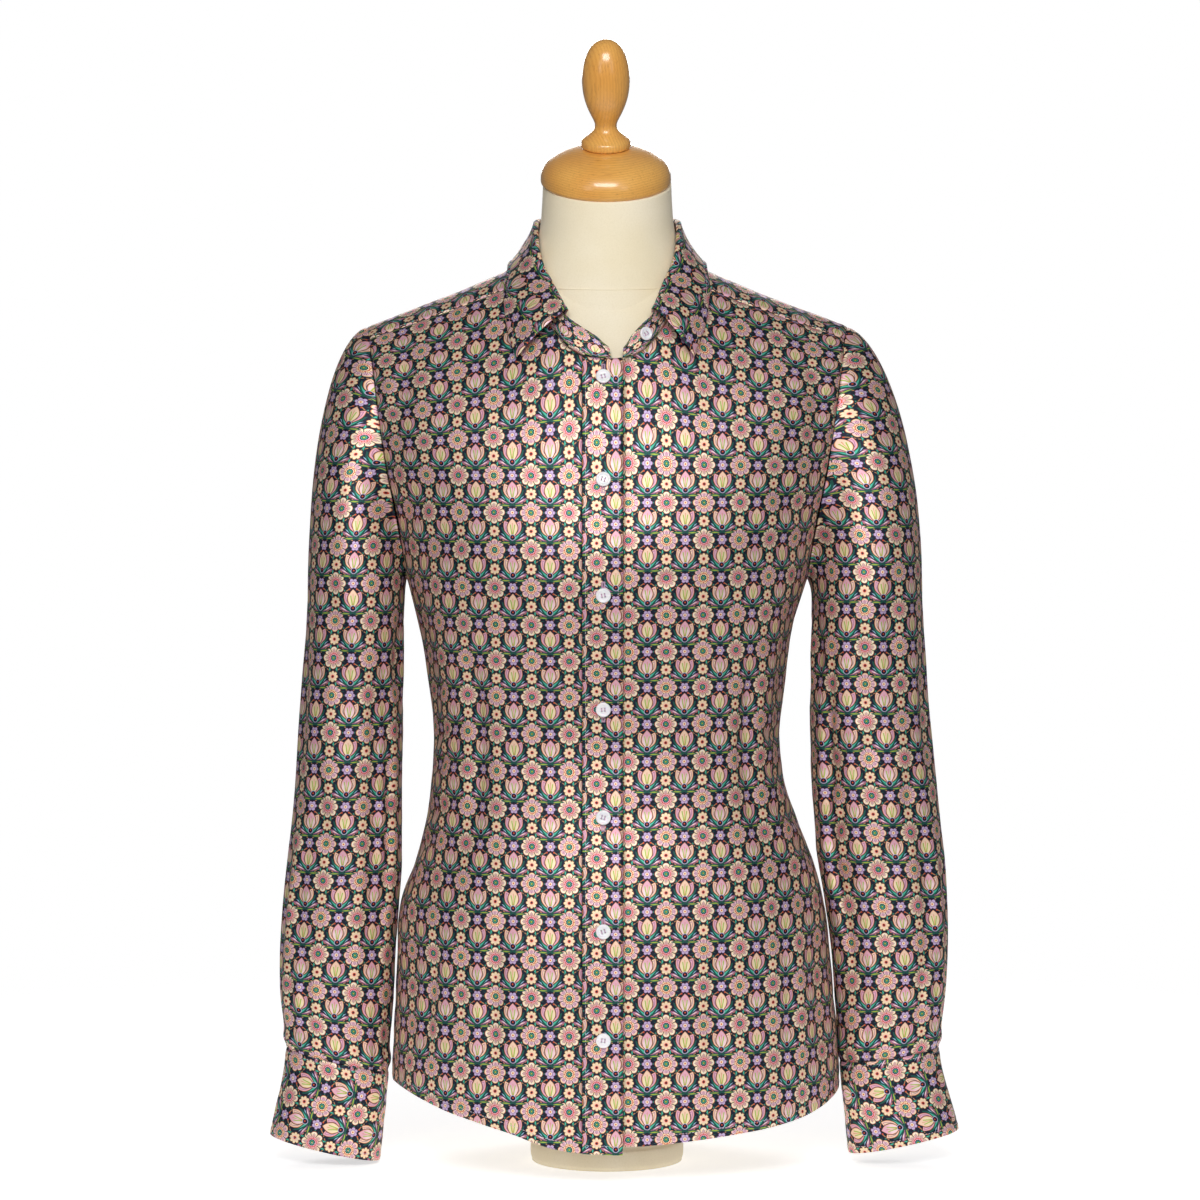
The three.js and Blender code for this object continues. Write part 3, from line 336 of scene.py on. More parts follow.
SLEEVE_COLUMNS = ("z", "x", "half", "y", "depth", "rise")
SLEEVE_RIGHT = Table(
    SLEEVE_COLUMNS,
    (
        (440, 195.2, 37.8, -2, 60, 0), (400, 196.8, 38.6, -3, 57, 0), (361, 198.5, 39.4, -4, 53, 0),
        (283, 201.9, 42.3, -7, 46, 0), (236, 204.8, 44.3, -9, 42, 0), (204, 207.3, 45, -10, 39, 0.01),
        (157, 210.2, 45, -12, 36, 0.06), (126, 211.4, 43.6, -13, 34, 0.13),
        (102, 211, 41.2, -13, 32, 0.19), (81.5, 210.6, 40, -13, 30, 0.234),
        (12.5, 220.2, 43, -14, 29, 0.235),
    ),
)
SLEEVE_LEFT = Table(
    SLEEVE_COLUMNS,
    (
        (440, 202.5, 43, -2, 60, 0), (400, 203, 44.5, -3, 57, 0), (361, 203.8, 45.6, -4, 53, 0),
        (283, 209.4, 48.9, -7, 46, 0), (236, 214, 49.2, -9, 42, 0), (204, 217.6, 47.4, -10, 39, 0.01),
        (157, 220.9, 44.6, -12, 36, 0.04), (126, 221.2, 42.6, -13, 34, 0.08),
        (102, 220.6, 40.4, -13, 32, 0.12), (85, 220.4, 39, -13, 30, 0.15),
        (17.5, 231.6, 43.2, -14, 29, 0.215),
    ),
)
SLEEVE_FOLDS = Table(
    ("angle", "low", "high", "width", "depth", "lean"),
    (
        (128, 110, 430, 13, 4, 8), (58, 120, 300, 12, 2.4, -10), (232, 130, 400, 15, 4.2, -12),
        (305, 120, 330, 13, 3, 12), (92, 330, 440, 11, 2.2, 16),
    ),
)
STAND_TOP = Table(
    ("t", "x_right", "y_right", "z_right", "x_left", "y_left", "z_left"),
    (
        (0, -0.5, -90.5, 638, 12.5, -91, 637), (0.06, 10, -87.2, 645, 20, -88.5, 646),
        (0.12, 21, -82.5, 652, 27, -84.5, 653.5), (0.19, 31.5, -76.8, 660, 35, -78, 661),
        (0.26, 38, -67.5, 671, 40.5, -68.5, 672), (0.33, 43.5, -56, 683, 45, -56, 684),
        (0.4, 50, -45, 697, 50.5, -45, 697), (0.46, 53, -37, 708, 53.5, -37, 708),
        (0.52, 54.2, -26, 718, 54.6, -26, 718), (0.6, 54.6, -3, 729.5, 54.8, -3, 729.5),
        (0.67, 53, 11, 732.5, 53.2, 11, 732.5), (0.74, 48.5, 24.5, 733, 48.5, 24.5, 733),
        (0.82, 39, 34.5, 733, 39, 34.5, 733), (0.9, 26, 42, 732.5, 26, 42, 732.5),
        (1, 0, 46.5, 732, 0, 46.5, 732),
    ),
)
LEAF_EDGE = Table(
    ("t", "x", "g", "lift", "left_in"),
    (
        (0.19, 67.5, -104.5, 6.4, 3.2), (0.26, 74.5, -86, 5, 2.4), (0.33, 77.5, -66, 3.8, 1.2),
        (0.4, 78, -48, 3.6, 0), (0.52, 75, -20, 4.2, 0), (0.6, 74, 4, 4.4, 0), (0.67, 73, 22, 4.2, 0),
        (0.74, 69, 41, 3.6, 0), (0.82, 57, 57, 3.4, 0), (0.9, 36, 66, 3.4, 0), (1, 0, 69, 3.4, 0),
    ),
)
NECK = Table(
    ("f", "z", "half", "y", "depth", "tilt"),
    (
        (0, 650, 74, -8, 60, 0), (0.2, 676, 67, -8, 56, 2), (0.4, 702, 59.5, -9, 52.5, 6),
        (0.6, 726, 52.4, -10, 49.8, 11), (0.8, 745, 50.4, -11, 49.4, 16), (1, 762, 49.6, -12, 49.4, 19),
    ),
)


def crease_depth(creases: Table, a: Array, b: Array, scale: float) -> Array:
    """Adds up creases that run from one place to another, each with low ridges beside it.

    Args:
        creases: Table with columns a0, b0, a1, b1, width and depth.
        a: Degrees round the piece.
        b: Height in millimetres.
        scale: Millimetres for one degree.

    Returns:
        How far the cloth sinks at each place.
    """
    total = np.zeros(np.broadcast(a, b).shape)
    for a0, b0, a1, b1, width, depth in creases.rows:
        turn = (np.asarray(a) - a0 + 180) % 360 - 180
        run = np.array((((a1 - a0 + 180) % 360 - 180) * scale, b1 - b0))
        length = float(np.hypot(*run))
        along = (turn * scale * run[0] + (b - b0) * run[1]) / length**2
        across = (turn * scale * run[1] - (b - b0) * run[0]) / length
        across = across + 0.06 * length * np.sin(math.pi * np.clip(along, 0, 1)) * math.sin(a0 + b0)
        fade = np.sin(math.pi * np.clip(along, 0, 1)) ** 0.8
        q = across / width
        ridges = 0.32 * np.exp(-(((np.abs(q) - 1.9) / 0.8) ** 2))
        total += depth * fade * (np.exp(-(q**2)) - ridges)
    return total


# The surface that all body pieces share


@dataclass(frozen=True)
class Figure:
    """The shirt's outer face round the body, over an angle phi and a nominal height h."""

    front_round: float = 0.84
    back_round: float = 0.9
    chest: float = 540
    ridge: float = 700
    underarm: float = 455
    hem_blend: float = 150
    hem_low: float = 25.5
    degree_run: float = 2.6  # millimetres that one degree spans at the side
    crease_scale: float = 1.4  # depth of the creases against their table

    def half(self, side: Array, h: Array) -> Array:
        """Half width at a height, on the right where side is below 0."""
        return np.where(side < 0, SECTIONS.at(h, "right"), SECTIONS.at(h, "left"))

    def folds(self, phi: Array, h: Array) -> Array:
        """Depth of the body's largest folds."""
        total = np.zeros(np.broadcast(phi, h).shape)
        for angle, low, high, width, deep in BODY_FOLDS.rows:
            turn = (np.degrees(phi) - angle + 180) % 360 - 180
            total += deep * bell(turn, width, h, low, high)
        return total

    def ring(self, phi: Array, half: Array, depth: Array) -> tuple[Array, Array]:
        """Coordinates x and y round a section that is a little squarer than an ellipse."""
        power = np.where(np.cos(phi) >= 0, self.front_round, self.back_round)
        return signed_power(np.sin(phi), power) * half, -signed_power(np.cos(phi), power) * depth

    def raised(self, x: Array, y: Array, h: Array, top: Array, drop: Array | float = 0.0) -> Array:
        """Points of a section at its real height; above the chest it closes over the shoulders."""
        climb = np.radians(np.clip((h - self.chest) / (self.ridge - self.chest), 0, 1) * 90)
        z = np.where(h <= self.chest, h + drop, self.chest + (top - self.chest) * np.sin(climb))
        return np.stack((x, y * np.cos(climb), z), axis=-1)

    def depth(self, phi: Array, h: Array) -> Array:
        """Depth of a section in front or behind, on the side that phi is on."""
        return np.where(np.cos(phi) >= 0, SECTIONS.at(h, "front"), SECTIONS.at(h, "back"))

    def point(self, phi: Array, h: Array, drop: Array | float = 0.0) -> Array:
        """Places points of the outer face.

        Args:
            phi: Angle, 0 in front and 90 degrees at the wearer's left seam, in radians.
            h: Nominal height.
            drop: Extra height at the hem.

        Returns:
            Points, with x, y and z on the last axis.
        """
        phi, h = np.broadcast_arrays(np.asarray(phi, float), np.asarray(h, float))
        inset = self.folds(phi, h)
        x, y = self.ring(phi, self.half(np.sin(phi), h) - inset, self.depth(phi, h) - inset)
        return self.raised(x, y, h, SHOULDER.at(np.abs(x), "z"), drop)

    def normal(self, phi: Array, h: Array) -> Array:
        """Directions away from the body."""
        phi, h = np.broadcast_arrays(np.asarray(phi, float), np.asarray(h, float))
        low = np.where(h > self.ridge - 1, h - 1, h)
        across = self.point(phi + 0.01, low) - self.point(phi - 0.01, low)
        up = self.point(phi, low + 0.5) - self.point(phi, low - 0.5)
        return unit(np.cross(across, up))

    def phi_at(self, x: Array | float, h: Array | float, front: Array | bool) -> Array:
        """Angle at which the front or the back of a section passes x."""
        x, h, front = np.broadcast_arrays(np.asarray(x, float), np.asarray(h, float), front)
        share = np.minimum(np.abs(x) / self.half(x, h), 1)
        angle = np.arcsin(share ** (1 / np.where(front, self.front_round, self.back_round)))
        return np.where(x < 0, -1.0, 1.0) * np.where(front, angle, math.pi - angle)

    def over_ridge(self, x: Array | float, g: Array | float, lift: Array | float = 0.0) -> Array:
        """Points over x and the way over the shoulder ridge, lifted off the cloth."""
        g = np.asarray(g, float)
        h = self.ridge - np.abs(g)
        phi = self.phi_at(x, h, g <= 0)
        return self.point(phi, h) + self.normal(phi, h) * np.asarray(lift)[..., None]

    def climb(self, v: Array, hem: Array, top: Array) -> tuple[Array, Array]:
        """Heights of a panel's rows from the hem to its top edge.

        Args:
            v: Share of the way up, from 0 to 1.
            hem: Real height of the hem.
            top: Nominal height of the top edge.

        Returns:
            Nominal heights and the drop that is added at the hem.
        """
        below = mix(self.hem_low, self.chest, v / LOWER_ROWS)
        above = mix(self.chest, top, (v - LOWER_ROWS) / (1 - LOWER_ROWS))
        fade = np.maximum(1 - (below - self.hem_low) / (self.hem_blend - self.hem_low), 0)
        h = np.where(v > LOWER_ROWS, above, below)
        return h, np.where(v > LOWER_ROWS, 0.0, (hem - self.hem_low) * fade)

    def relief(self, phi: Array, h: Array) -> Array:
        """How far the creases and the unevenness of the silk lift the surface."""
        degrees = np.degrees(phi)
        sunk = self.crease_scale * crease_depth(BODY_CREASES, degrees, h, self.degree_run)
        run = (degrees % 360) * self.degree_run
        turning = np.abs(np.sin(phi)) ** 2
        broad = unevenness(run, h, 92, 1.3) * (0.35 + 0.5 * turning)
        fine = unevenness(run, h, 31, 4.1) * (0.1 + 0.22 * turning)
        return broad + fine - sunk

    def girth(self, phi: Array, h: Array, start: float) -> Array:
        """Length round a section from a start angle, signed as phi is."""
        phi, h = np.broadcast_arrays(np.asarray(phi, float), np.asarray(h, float))
        share = np.linspace(0, 1, 25)
        ring = self.point(start + (phi - start)[..., None] * share, h[..., None] + 0 * share)
        return np.sign(phi - start) * run_along(ring[..., :2], ring.ndim - 2)[..., -1]

    def rise(self, h: Array, front: bool) -> Array:
        """Length up the cloth from the hem to a nominal height."""
        levels = np.linspace(0, self.ridge, 281)
        phi = math.radians(30 if front else 150)
        column = self.point(np.full(levels.shape, phi), levels)
        return np.interp(h, levels, run_along(column))


FIGURE = Figure()


# Cloth as a grid that becomes a shell


class Edge(Enum):
    """The four edges of a cloth grid."""

    FIRST = "first column"
    LAST = "last column"
    LOW = "first row"
    HIGH = "last row"


@dataclass
class Cloth:
    """A piece of cloth as a grid of points of its outer face, with its print coordinates."""

    name: str
    points: Array
    uv: Array
    outward: Array
    closed: bool = False
    thickness: float = CLOTH

    def __post_init__(self) -> None:
        """Turns the grid so that rows and columns give a normal that faces out."""
        self.turned = float((self.normals() * self.outward).sum(axis=-1).mean()) < 0
        if self.turned:
            self.points = self.reordered(self.points)
            self.uv = self.uv[:, ::-1]

    def reordered(self, values: Array) -> Array:
        """Values of the grid with their columns the other way round."""
        count = values.shape[1]
        return values[:, -np.arange(count) % count if self.closed else np.arange(count)[::-1]]

    def normals(self) -> Array:
        """Normals of the grid from its neighbours."""
        if self.closed:
            across = np.roll(self.points, -1, axis=1) - np.roll(self.points, 1, axis=1)
        else:
            across = np.gradient(self.points, axis=1)
        return unit(np.cross(across, np.gradient(self.points, axis=0)))

    def from_edge(self, edge: Edge) -> Array:
        """Distance of each point from one edge, along the grid."""
        flip = edge in (Edge.LAST, Edge.HIGH)
        axis = 1 if self._crosses(edge) else 0
        lengths = run_along(np.flip(self.points, axis) if flip else self.points, axis)
        return np.flip(lengths, axis) if flip else lengths

    def _crosses(self, edge: Edge) -> bool:
        """Whether the distance from an edge runs along the rows."""
        return edge in (Edge.FIRST, Edge.LAST)

    def side(self, edge: Edge) -> Edge:
        """The grid's present edge for an edge as it was drawn, before any turn."""
        swap = {Edge.FIRST: Edge.LAST, Edge.LAST: Edge.FIRST}
        return swap.get(edge, edge) if self.turned else edge

    def lift(self, height: Array) -> None:
        """Moves the outer face along its normals."""
        self.points = self.points + self.normals() * height[..., None]

    def finish_edge(self, edge: Edge, stitch: float, seam: bool = False) -> None:
        """Shapes an edge: a seam sinks, and a sewn edge is full up to its stitch line.

        Args:
            edge: The edge, as drawn.
            stitch: Distance of the stitch line from the edge, 0 for none.
            seam: True where another piece is sewn on.
        """
        distance = self.from_edge(self.side(edge))
        height = np.zeros(distance.shape)
        if seam:
            height -= 0.65 * np.exp(-((distance / 1.7) ** 2))
            height += 0.18 * np.exp(-(((distance - 4.2) / 2.2) ** 2))
        if stitch > 0:
            height += 0.3 * ease(distance, 0, 1.2) * (1 - ease(distance, stitch - 1.4, stitch))
            height -= 0.34 * np.exp(-(((distance - stitch) / 0.8) ** 2))
        self.lift(height)

    def line(self, edge: Edge, inset: float, trim: tuple[float, float] = (0, 0)) -> tuple[Array, Array]:
        """A line that keeps its distance from an edge.

        Args:
            edge: The edge, as drawn.
            inset: Distance from the edge.
            trim: Lengths cut off at the line's start and end.

        Returns:
            Points and normals along the line.
        """
        edge = self.side(edge)
        distance = self.from_edge(edge)
        normals = self.normals()
        points = self.points
        if not self._crosses(edge):
            distance, points, normals = distance.T, points.swapaxes(0, 1), normals.swapaxes(0, 1)
        if edge in (Edge.LAST, Edge.HIGH):
            distance, points, normals = distance[:, ::-1], points[:, ::-1], normals[:, ::-1]
        found = []
        for row, point, normal in zip(distance, points, normals):
            i = int(np.clip(np.searchsorted(row, inset), 1, len(row) - 1))
            f = min(max((inset - row[i - 1]) / max(row[i] - row[i - 1], 1e-9), 0.0), 1.0)
            found.append((mix(point[i - 1], point[i], f), mix(normal[i - 1], normal[i], f)))
        line, facing = np.swapaxes(np.array(found), 0, 1)
        lengths = run_along(line)
        keep = (lengths >= trim[0]) & (lengths <= lengths[-1] - trim[1])
        return line[keep], unit(facing)[keep]

    def area(self) -> float:
        """Area of the outer face in square metres."""
        across = np.diff(self.points, axis=1)[:-1]
        up = np.diff(self.points, axis=0)[:, :-1]
        return float(np.linalg.norm(np.cross(across, up), axis=-1).sum()) * MM**2

    def _border(self) -> list[tuple[list[tuple[int, int]], list[tuple[int, int]], bool]]:
        """Loops of border cells with the cells further in, and whether each loop closes."""
        rows, cols = self.points.shape[:2]
        if self.closed:
            low = [(0, c) for c in range(cols + 1)]
            high = [(rows - 1, cols - c) for c in range(cols + 1)]
            beside = [(1, c) for _, c in low], [(rows - 2, c) for _, c in high]
            return [(low, beside[0], False), (high, beside[1], False)]
        loop = [(0, c) for c in range(cols - 1)]
        loop += [(r, cols - 1) for r in range(rows - 1)]
        loop += [(rows - 1, c) for c in range(cols - 1, 0, -1)]
        loop += [(r, 0) for r in range(rows - 1, 0, -1)]
        inner = [(min(max(r, 1), rows - 2), min(max(c, 1), cols - 2)) for r, c in loop]
        return [(loop, inner, True)]

    def build(self, face: Material, reverse: Material) -> bpy.types.Object:
        """Makes the shell: outer face, inner face and a rounded edge between them.

        Args:
            face: Finish of the outer face.
            reverse: Finish of the inner face.

        Returns:
            The new object, linked and smooth.
        """
        rows, cols = self.points.shape[:2]
        wide = cols if self.closed else cols - 1
        inner_points = self.points - self.normals() * self.thickness
        vertices = [self.points.reshape(-1, 3), inner_points.reshape(-1, 3)]
        count = rows * cols
        r, c = np.meshgrid(np.arange(rows - 1), np.arange(wide), indexing="ij")
        r, c = r.ravel(), c.ravel()
        corners = ((r, c), (r, c + 1), (r + 1, c + 1), (r + 1, c))
        outer = np.stack([cr * cols + cc % cols for cr, cc in corners], axis=1)
        outer_uv = np.stack([self.uv[cr, cc] for cr, cc in corners], axis=1)
        faces = [outer, (outer + count)[:, ::-1]]
        uvs = [outer_uv, outer_uv[:, ::-1]]
        kinds = [np.zeros(len(outer), int), np.ones(len(outer), int)]
        total = 2 * count
        for loop, inside, closes in self._border():
            at = np.array([cr * cols + cc % cols for cr, cc in loop])
            edge_uv = np.array([self.uv[cr, cc] for cr, cc in loop])
            edge, back = vertices[0][at], vertices[1][at]
            inner = np.array([self.points[cr, cc % cols] for cr, cc in inside])
            vertices.append((edge + back) / 2 + unit(edge - inner) * self.thickness * 0.4)
            rims = total + np.arange(len(at))
            total += len(at)
            k = np.arange(len(at) if closes else len(at) - 1)
            n = (k + 1) % len(at)
            faces.append(np.stack((at[k], rims[k], rims[n], at[n]), axis=1))
            faces.append(np.stack((rims[k], at[k] + count, at[n] + count, rims[n]), axis=1))
            uvs += [np.stack((edge_uv[k], edge_uv[k], edge_uv[n], edge_uv[n]), axis=1)] * 2
            kinds.append(np.zeros(2 * len(k), int))
        grids = (np.concatenate(part) for part in (vertices, faces, kinds, uvs))
        points, faces, kinds, uvs = grids
        return mesh_object(self.name, points, faces.tolist(), (face, reverse), kinds, uvs)


def mesh_object(
    name: str,
    vertices: Array,
    faces: list[Sequence[int]],
    materials: Sequence[Material],
    kinds: Sequence[int] | None = None,
    uv: Array | None = None,
    place: Matrix | None = None,
) -> bpy.types.Object:
    """Makes a smooth mesh object that rides on the body.

    Args:
        name: Name of the piece.
        vertices: Points in millimetres.
        faces: Vertex numbers of each face.
        materials: Finishes, in slot order.
        kinds: Slot number of each face.
        uv: Print coordinates of each face's corners, in millimetres.
        place: Where the object stands, in metres.

    Returns:
        The object.
    """
    mesh = bpy.data.meshes.new(name)
    mesh.from_pydata((vertices * MM).tolist(), [], faces)
    for material in materials:
        mesh.materials.append(material)
    mesh.polygons.foreach_set("use_smooth", [True] * len(mesh.polygons))
    if kinds is not None:
        mesh.polygons.foreach_set("material_index", kinds)
    if uv is not None:
        mesh.uv_layers.new(name="cloth").data.foreach_set("uv", (uv * MM).ravel())
    mesh.update()
    piece = bpy.data.objects.new(name, mesh)
    if place is not None:
        piece.matrix_world = place
    bpy.context.scene.collection.objects.link(piece)
    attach(piece, BODY)
    return piece


# Sewing thread


@dataclass
class Sewing:
    """Rows of short stitches that lie on the cloth, gathered into one piece."""

    name: str
    pitch: float = 2.6
    length: float = 1.9
    radius: float = 0.27
    parts: list[tuple[Array, Array]] = field(default_factory=list)

    SIDES = 6
    RINGS = ((-0.5, 0.0), (-0.36, 0.8), (0.0, 1.0), (0.36, 0.8), (0.5, 0.0))

    def row(self, line: tuple[Array, Array], sink: float = 0.05) -> None:
        """Sews along a line.

        Args:
            line: Points and normals.
            sink: How deep the thread's middle lies under the points.
        """
        points, normals = line
        lengths = run_along(points)
        count = int(lengths[-1] / self.pitch)
        if count < 2:
            return
        where = (np.arange(count) + 0.5) * lengths[-1] / count

        def along(values: Array, at: Array) -> Array:
            """Reads three columns of values at lengths along the line."""
            return np.stack([np.interp(at, lengths, values[:, k]) for k in range(3)], axis=1)

        middle = along(points, where)
        ahead = unit(along(points, where + 0.3) - along(points, where - 0.3))
        up = unit(along(normals, where))
        self.add(middle - up * sink, ahead, up)

    def add(self, middle: Array, ahead: Array, up: Array) -> None:
        """Adds single stitches at places, with their direction and the way up."""
        beside = unit(np.cross(ahead, up))
        rings = []
        for share, width in self.RINGS:
            spread = max(width, 0.05) * self.radius
            for angle in np.arange(self.SIDES) * 2 * math.pi / self.SIDES:
                offset = ahead * share * self.length + beside * math.cos(angle) * spread
                rings.append(middle + offset + up * math.sin(angle) * spread)
        offsets = np.arange(len(middle))[:, None, None] * len(rings)
        faces = ring_quads(len(self.RINGS), self.SIDES) + offsets
        self.parts.append((np.stack(rings, axis=1).reshape(-1, 3), faces.reshape(-1, 4)))

    def build(self, thread: Material) -> None:
        """Makes one object of all stitches."""
        vertices, faces = joined(self.parts)
        mesh_object(self.name, vertices, faces.tolist(), (thread,))


def tube(path: Array, radius: float, sides: int = 8) -> tuple[Array, Array]:
    """A closed tube along a path.

    Args:
        path: Points of its middle line.
        radius: Radius of the tube.
        sides: Number of sides.

    Returns:
        Vertices and quads.
    """
    ahead = unit(np.gradient(path, axis=0))
    side = unit(np.cross(ahead, np.array((0.13, 0.21, 0.97))))
    angle = (np.arange(sides) * 2 * math.pi / sides)[None, :, None]
    ring = side[:, None] * np.cos(angle) + np.cross(side, ahead)[:, None] * np.sin(angle)
    return (path[:, None] + ring * radius).reshape(-1, 3), ring_quads(len(path), sides)


# Shader maths


class Wire:
    """A value in a node tree that is worked with like a number."""

    def __init__(self, net: Net, socket: Socket) -> None:
        """Keeps the socket and the net that it belongs to."""
        self.net = net
        self.socket = socket

    def _math(self, operation: str, *values: Wire | float, clamp: bool = False) -> Wire:
        """Adds one Math node."""
        settings = {"operation": operation, "use_clamp": clamp}
        node = self.net.node("ShaderNodeMath", settings, dict(enumerate(values)))
        return Wire(self.net, node.outputs[0])

    def __add__(self, other: Wire | float) -> Wire:
        """Sum."""
        return self._math("ADD", self, other)

    __radd__ = __add__

    def __sub__(self, other: Wire | float) -> Wire:
        """Difference."""
        return self._math("SUBTRACT", self, other)

    def __rsub__(self, other: float) -> Wire:
        """Difference from a number."""
        return self._math("SUBTRACT", other, self)

    def __mul__(self, other: Wire | float) -> Wire:
        """Product."""
        return self._math("MULTIPLY", self, other)

    __rmul__ = __mul__

    def __truediv__(self, other: Wire | float) -> Wire:
        """Quotient."""
        return self._math("DIVIDE", self, other)

    def __abs__(self) -> Wire:
        """Size without sign."""
        return self._math("ABSOLUTE", self)

    def __pow__(self, power: float) -> Wire:
        """Power."""
        return self._math("POWER", self, power)

    def sin(self) -> Wire:
        """Sine."""
        return self._math("SINE", self)

    def cos(self) -> Wire:
        """Cosine."""
        return self._math("COSINE", self)

    def angle(self, other: Wire) -> Wire:
        """Angle of this height over another length."""
        return self._math("ARCTAN2", self, other)

    def wrap(self, span: float) -> Wire:
        """Folds a coordinate into a cell of that span round 0."""
        return self._math("WRAP", self, span / 2, -span / 2)

    def inside(self, soft: float = 0.14) -> Wire:
        """1 where the value is above 0, with an edge as soft as given."""
        return self._math("MULTIPLY_ADD", self, 1 / soft, 0.5, clamp=True)

    def clamped(self) -> Wire:
        """Held between 0 and 1."""
        return self._math("ADD", self, 0.0, clamp=True)


Triple = tuple[float, float, float]
Colour = Triple
Material = bpy.types.Material
Socket = bpy.types.NodeSocket


def colour(code: str) -> Colour:
    """Scene-linear colour from a six-figure screen colour."""
    values = [int(code[i : i + 2], 16) / 255 for i in (0, 2, 4)]
    return tuple(v / 12.92 if v <= 0.04045 else ((v + 0.055) / 1.055) ** 2.4 for v in values)


class Net:
    """The node tree of a material or of the world."""

    def __init__(self, name: str, shelf: str = "materials") -> None:
        """Makes the material or world with an empty tree."""
        self.owner = getattr(bpy.data, shelf).new(name)
        self.owner.use_nodes = True
        self.tree = self.owner.node_tree
        self.tree.nodes.clear()

    def node(
        self,
        kind: str,
        settings: dict[str, object] | None = None,
        inputs: dict[int | str, object] | None = None,
    ) -> bpy.types.Node:
        """Adds a node, sets it up and feeds its sockets.

        Args:
            kind: Blender's name of the node type.
            settings: Properties that are set first; "stops" are a ramp's positions and colours.
            inputs: Values, wires or sockets by input number or name.

        Returns:
            The node.
        """
        node = self.tree.nodes.new(kind)
        for key, value in (settings or {}).items():
            if key == "stops":
                self._stops(node, value)
            else:
                setattr(node, key, value)
        for key, value in (inputs or {}).items():
            target = node.inputs[key]
            if isinstance(value, Wire):
                self.tree.links.new(value.socket, target)
            elif isinstance(value, bpy.types.NodeSocket):
                self.tree.links.new(value, target)
            elif isinstance(value, tuple) and target.type == "RGBA":
                target.default_value = (*value, 1.0)
            else:
                target.default_value = value
        return node

    def _stops(self, node: bpy.types.Node, stops: Sequence[tuple[float, Colour]]) -> None:
        """Fills a colour ramp."""
        ramp = node.color_ramp
        while len(ramp.elements) < len(stops):
            ramp.elements.new(1.0)
        for element, (place, shade) in zip(ramp.elements, stops):
            element.position = place
            element.color = (*shade, 1.0)

    def blend(self, below: Colour | Socket, above: Colour | Socket,
              mask: Wire | float) -> Socket:
        """Lays one colour over another by a mask."""
        node = self.node("ShaderNodeMix", {"data_type": "RGBA"}, {0: mask, 6: below, 7: above})
        return node.outputs[2]

    def parts(self, vector: Socket) -> list[Wire]:
        """The x, y and z of a vector."""
        split = self.node("ShaderNodeSeparateXYZ", inputs={0: vector})
        return [Wire(self, output) for output in split.outputs]

    def cloth_uv(self) -> Socket:
        """Print coordinates in metres."""
        return self.node("ShaderNodeUVMap", {"uv_map": "cloth"}).outputs[0]

    def cloth_xy(self) -> tuple[Wire, Wire]:
        """Print coordinates in millimetres."""
        u, v, _ = self.parts(self.cloth_uv())
        return u * (1 / MM), v * (1 / MM)

    def place(self) -> Socket:
        """The object's own coordinates in metres."""
        return self.node("ShaderNodeTexCoord").outputs["Object"]

    def noise(self, vector: Socket, scale: float, detail: float = 2.0) -> Wire:
        """Noise of about 0 to 1 at a number of waves a metre."""
        inputs = {"Vector": vector, "Scale": scale, "Detail": detail}
        return Wire(self, self.node("ShaderNodeTexNoise", inputs=inputs).outputs[0])

    def stretched(self, vector: Socket, scale: Triple) -> Socket:
        """A vector with each part scaled."""
        node = self.node("ShaderNodeVectorMath", {"operation": "MULTIPLY"}, {0: vector})
        node.inputs[1].default_value = scale
        return node.outputs[0]

    def bump(self, height: Wire, distance: float, strength: float = 1.0) -> Socket:
        """A bumped normal from a height of 0 to 1 over a distance in metres."""
        inputs = {"Height": height, "Distance": distance, "Strength": strength}
        return self.node("ShaderNodeBump", inputs=inputs).outputs[0]

    def surface(self, inputs: dict[str, object]) -> Material:
        """Ends the tree in a Principled surface and gives the material."""
        shader = self.node("ShaderNodeBsdfPrincipled", inputs=inputs)
        self.node("ShaderNodeOutputMaterial", inputs={"Surface": shader.outputs[0]})
        return self.owner


# The print


NAVY = colour("12152d")
PINK = colour("e4b0c2")
PALE_PINK = colour("f3d8da")
MAGENTA = colour("a8648a")
PEACH = colour("f2d2b8")
CREAM = colour("f3e2bc")
PALE_CREAM = colour("f6efe0")
ORANGE = colour("d98a55")
RED = colour("d94d2b")
TEAL = colour("14564c")
TURQUOISE = colour("4cbfa2")
LIME = colour("a9bf45")
LILAC = colour("c3b3d8")
SKY = colour("9cc4de")


@dataclass
class Coats:
    """A colour that is built up in coats."""

    net: Net
    result: Colour | Socket

    def coat(self, shade: Colour | Socket, mask: Wire) -> None:
        """Lays a colour over what is there."""
        self.result = self.net.blend(self.result, shade, mask)

    def coat_by(self, turnabout: Wire, even: Colour, odd: Colour, mask: Wire) -> None:
        """Lays one of two colours, which take turns from flower to flower."""
        self.coat(self.net.blend(odd, even, turnabout), mask)

    def outlined(
        self, shape: Wire, line: Colour, fill: Colour | Socket, width: float = 0.7
    ) -> Wire:
        """Paints a shape with an outline inside its edge.

        Args:
            shape: Distance inside the shape.
            line: Colour of the outline.
            fill: Colour of the rest.
            width: Width of the outline.

        Returns:
            The mask of the filled part.
        """
        within = (shape - width).inside()
        self.coat(line, shape.inside())
        self.coat(fill, within)
        return within


def petal(x: Wire, y: Wire, base: tuple[float, float], turn: float, length: float, half: float) -> Wire:
    """Distance inside a pointed petal or leaf.

    Args:
        x: Coordinate across.
        y: Coordinate up.
        base: Where the petal starts.
        turn: Its lean from upright, in degrees.
        length: Its length.
        half: Half of its width.

    Returns:
        Positive values inside.
    """
    lean_sin, lean_cos = math.sin(math.radians(turn)), math.cos(math.radians(turn))
    dx, dy = x - base[0], y - base[1]
    along = dx * lean_sin + dy * lean_cos
    across = dx * lean_cos - dy * lean_sin
    return along * (length - along) * (4 * half / length**2) - abs(across)


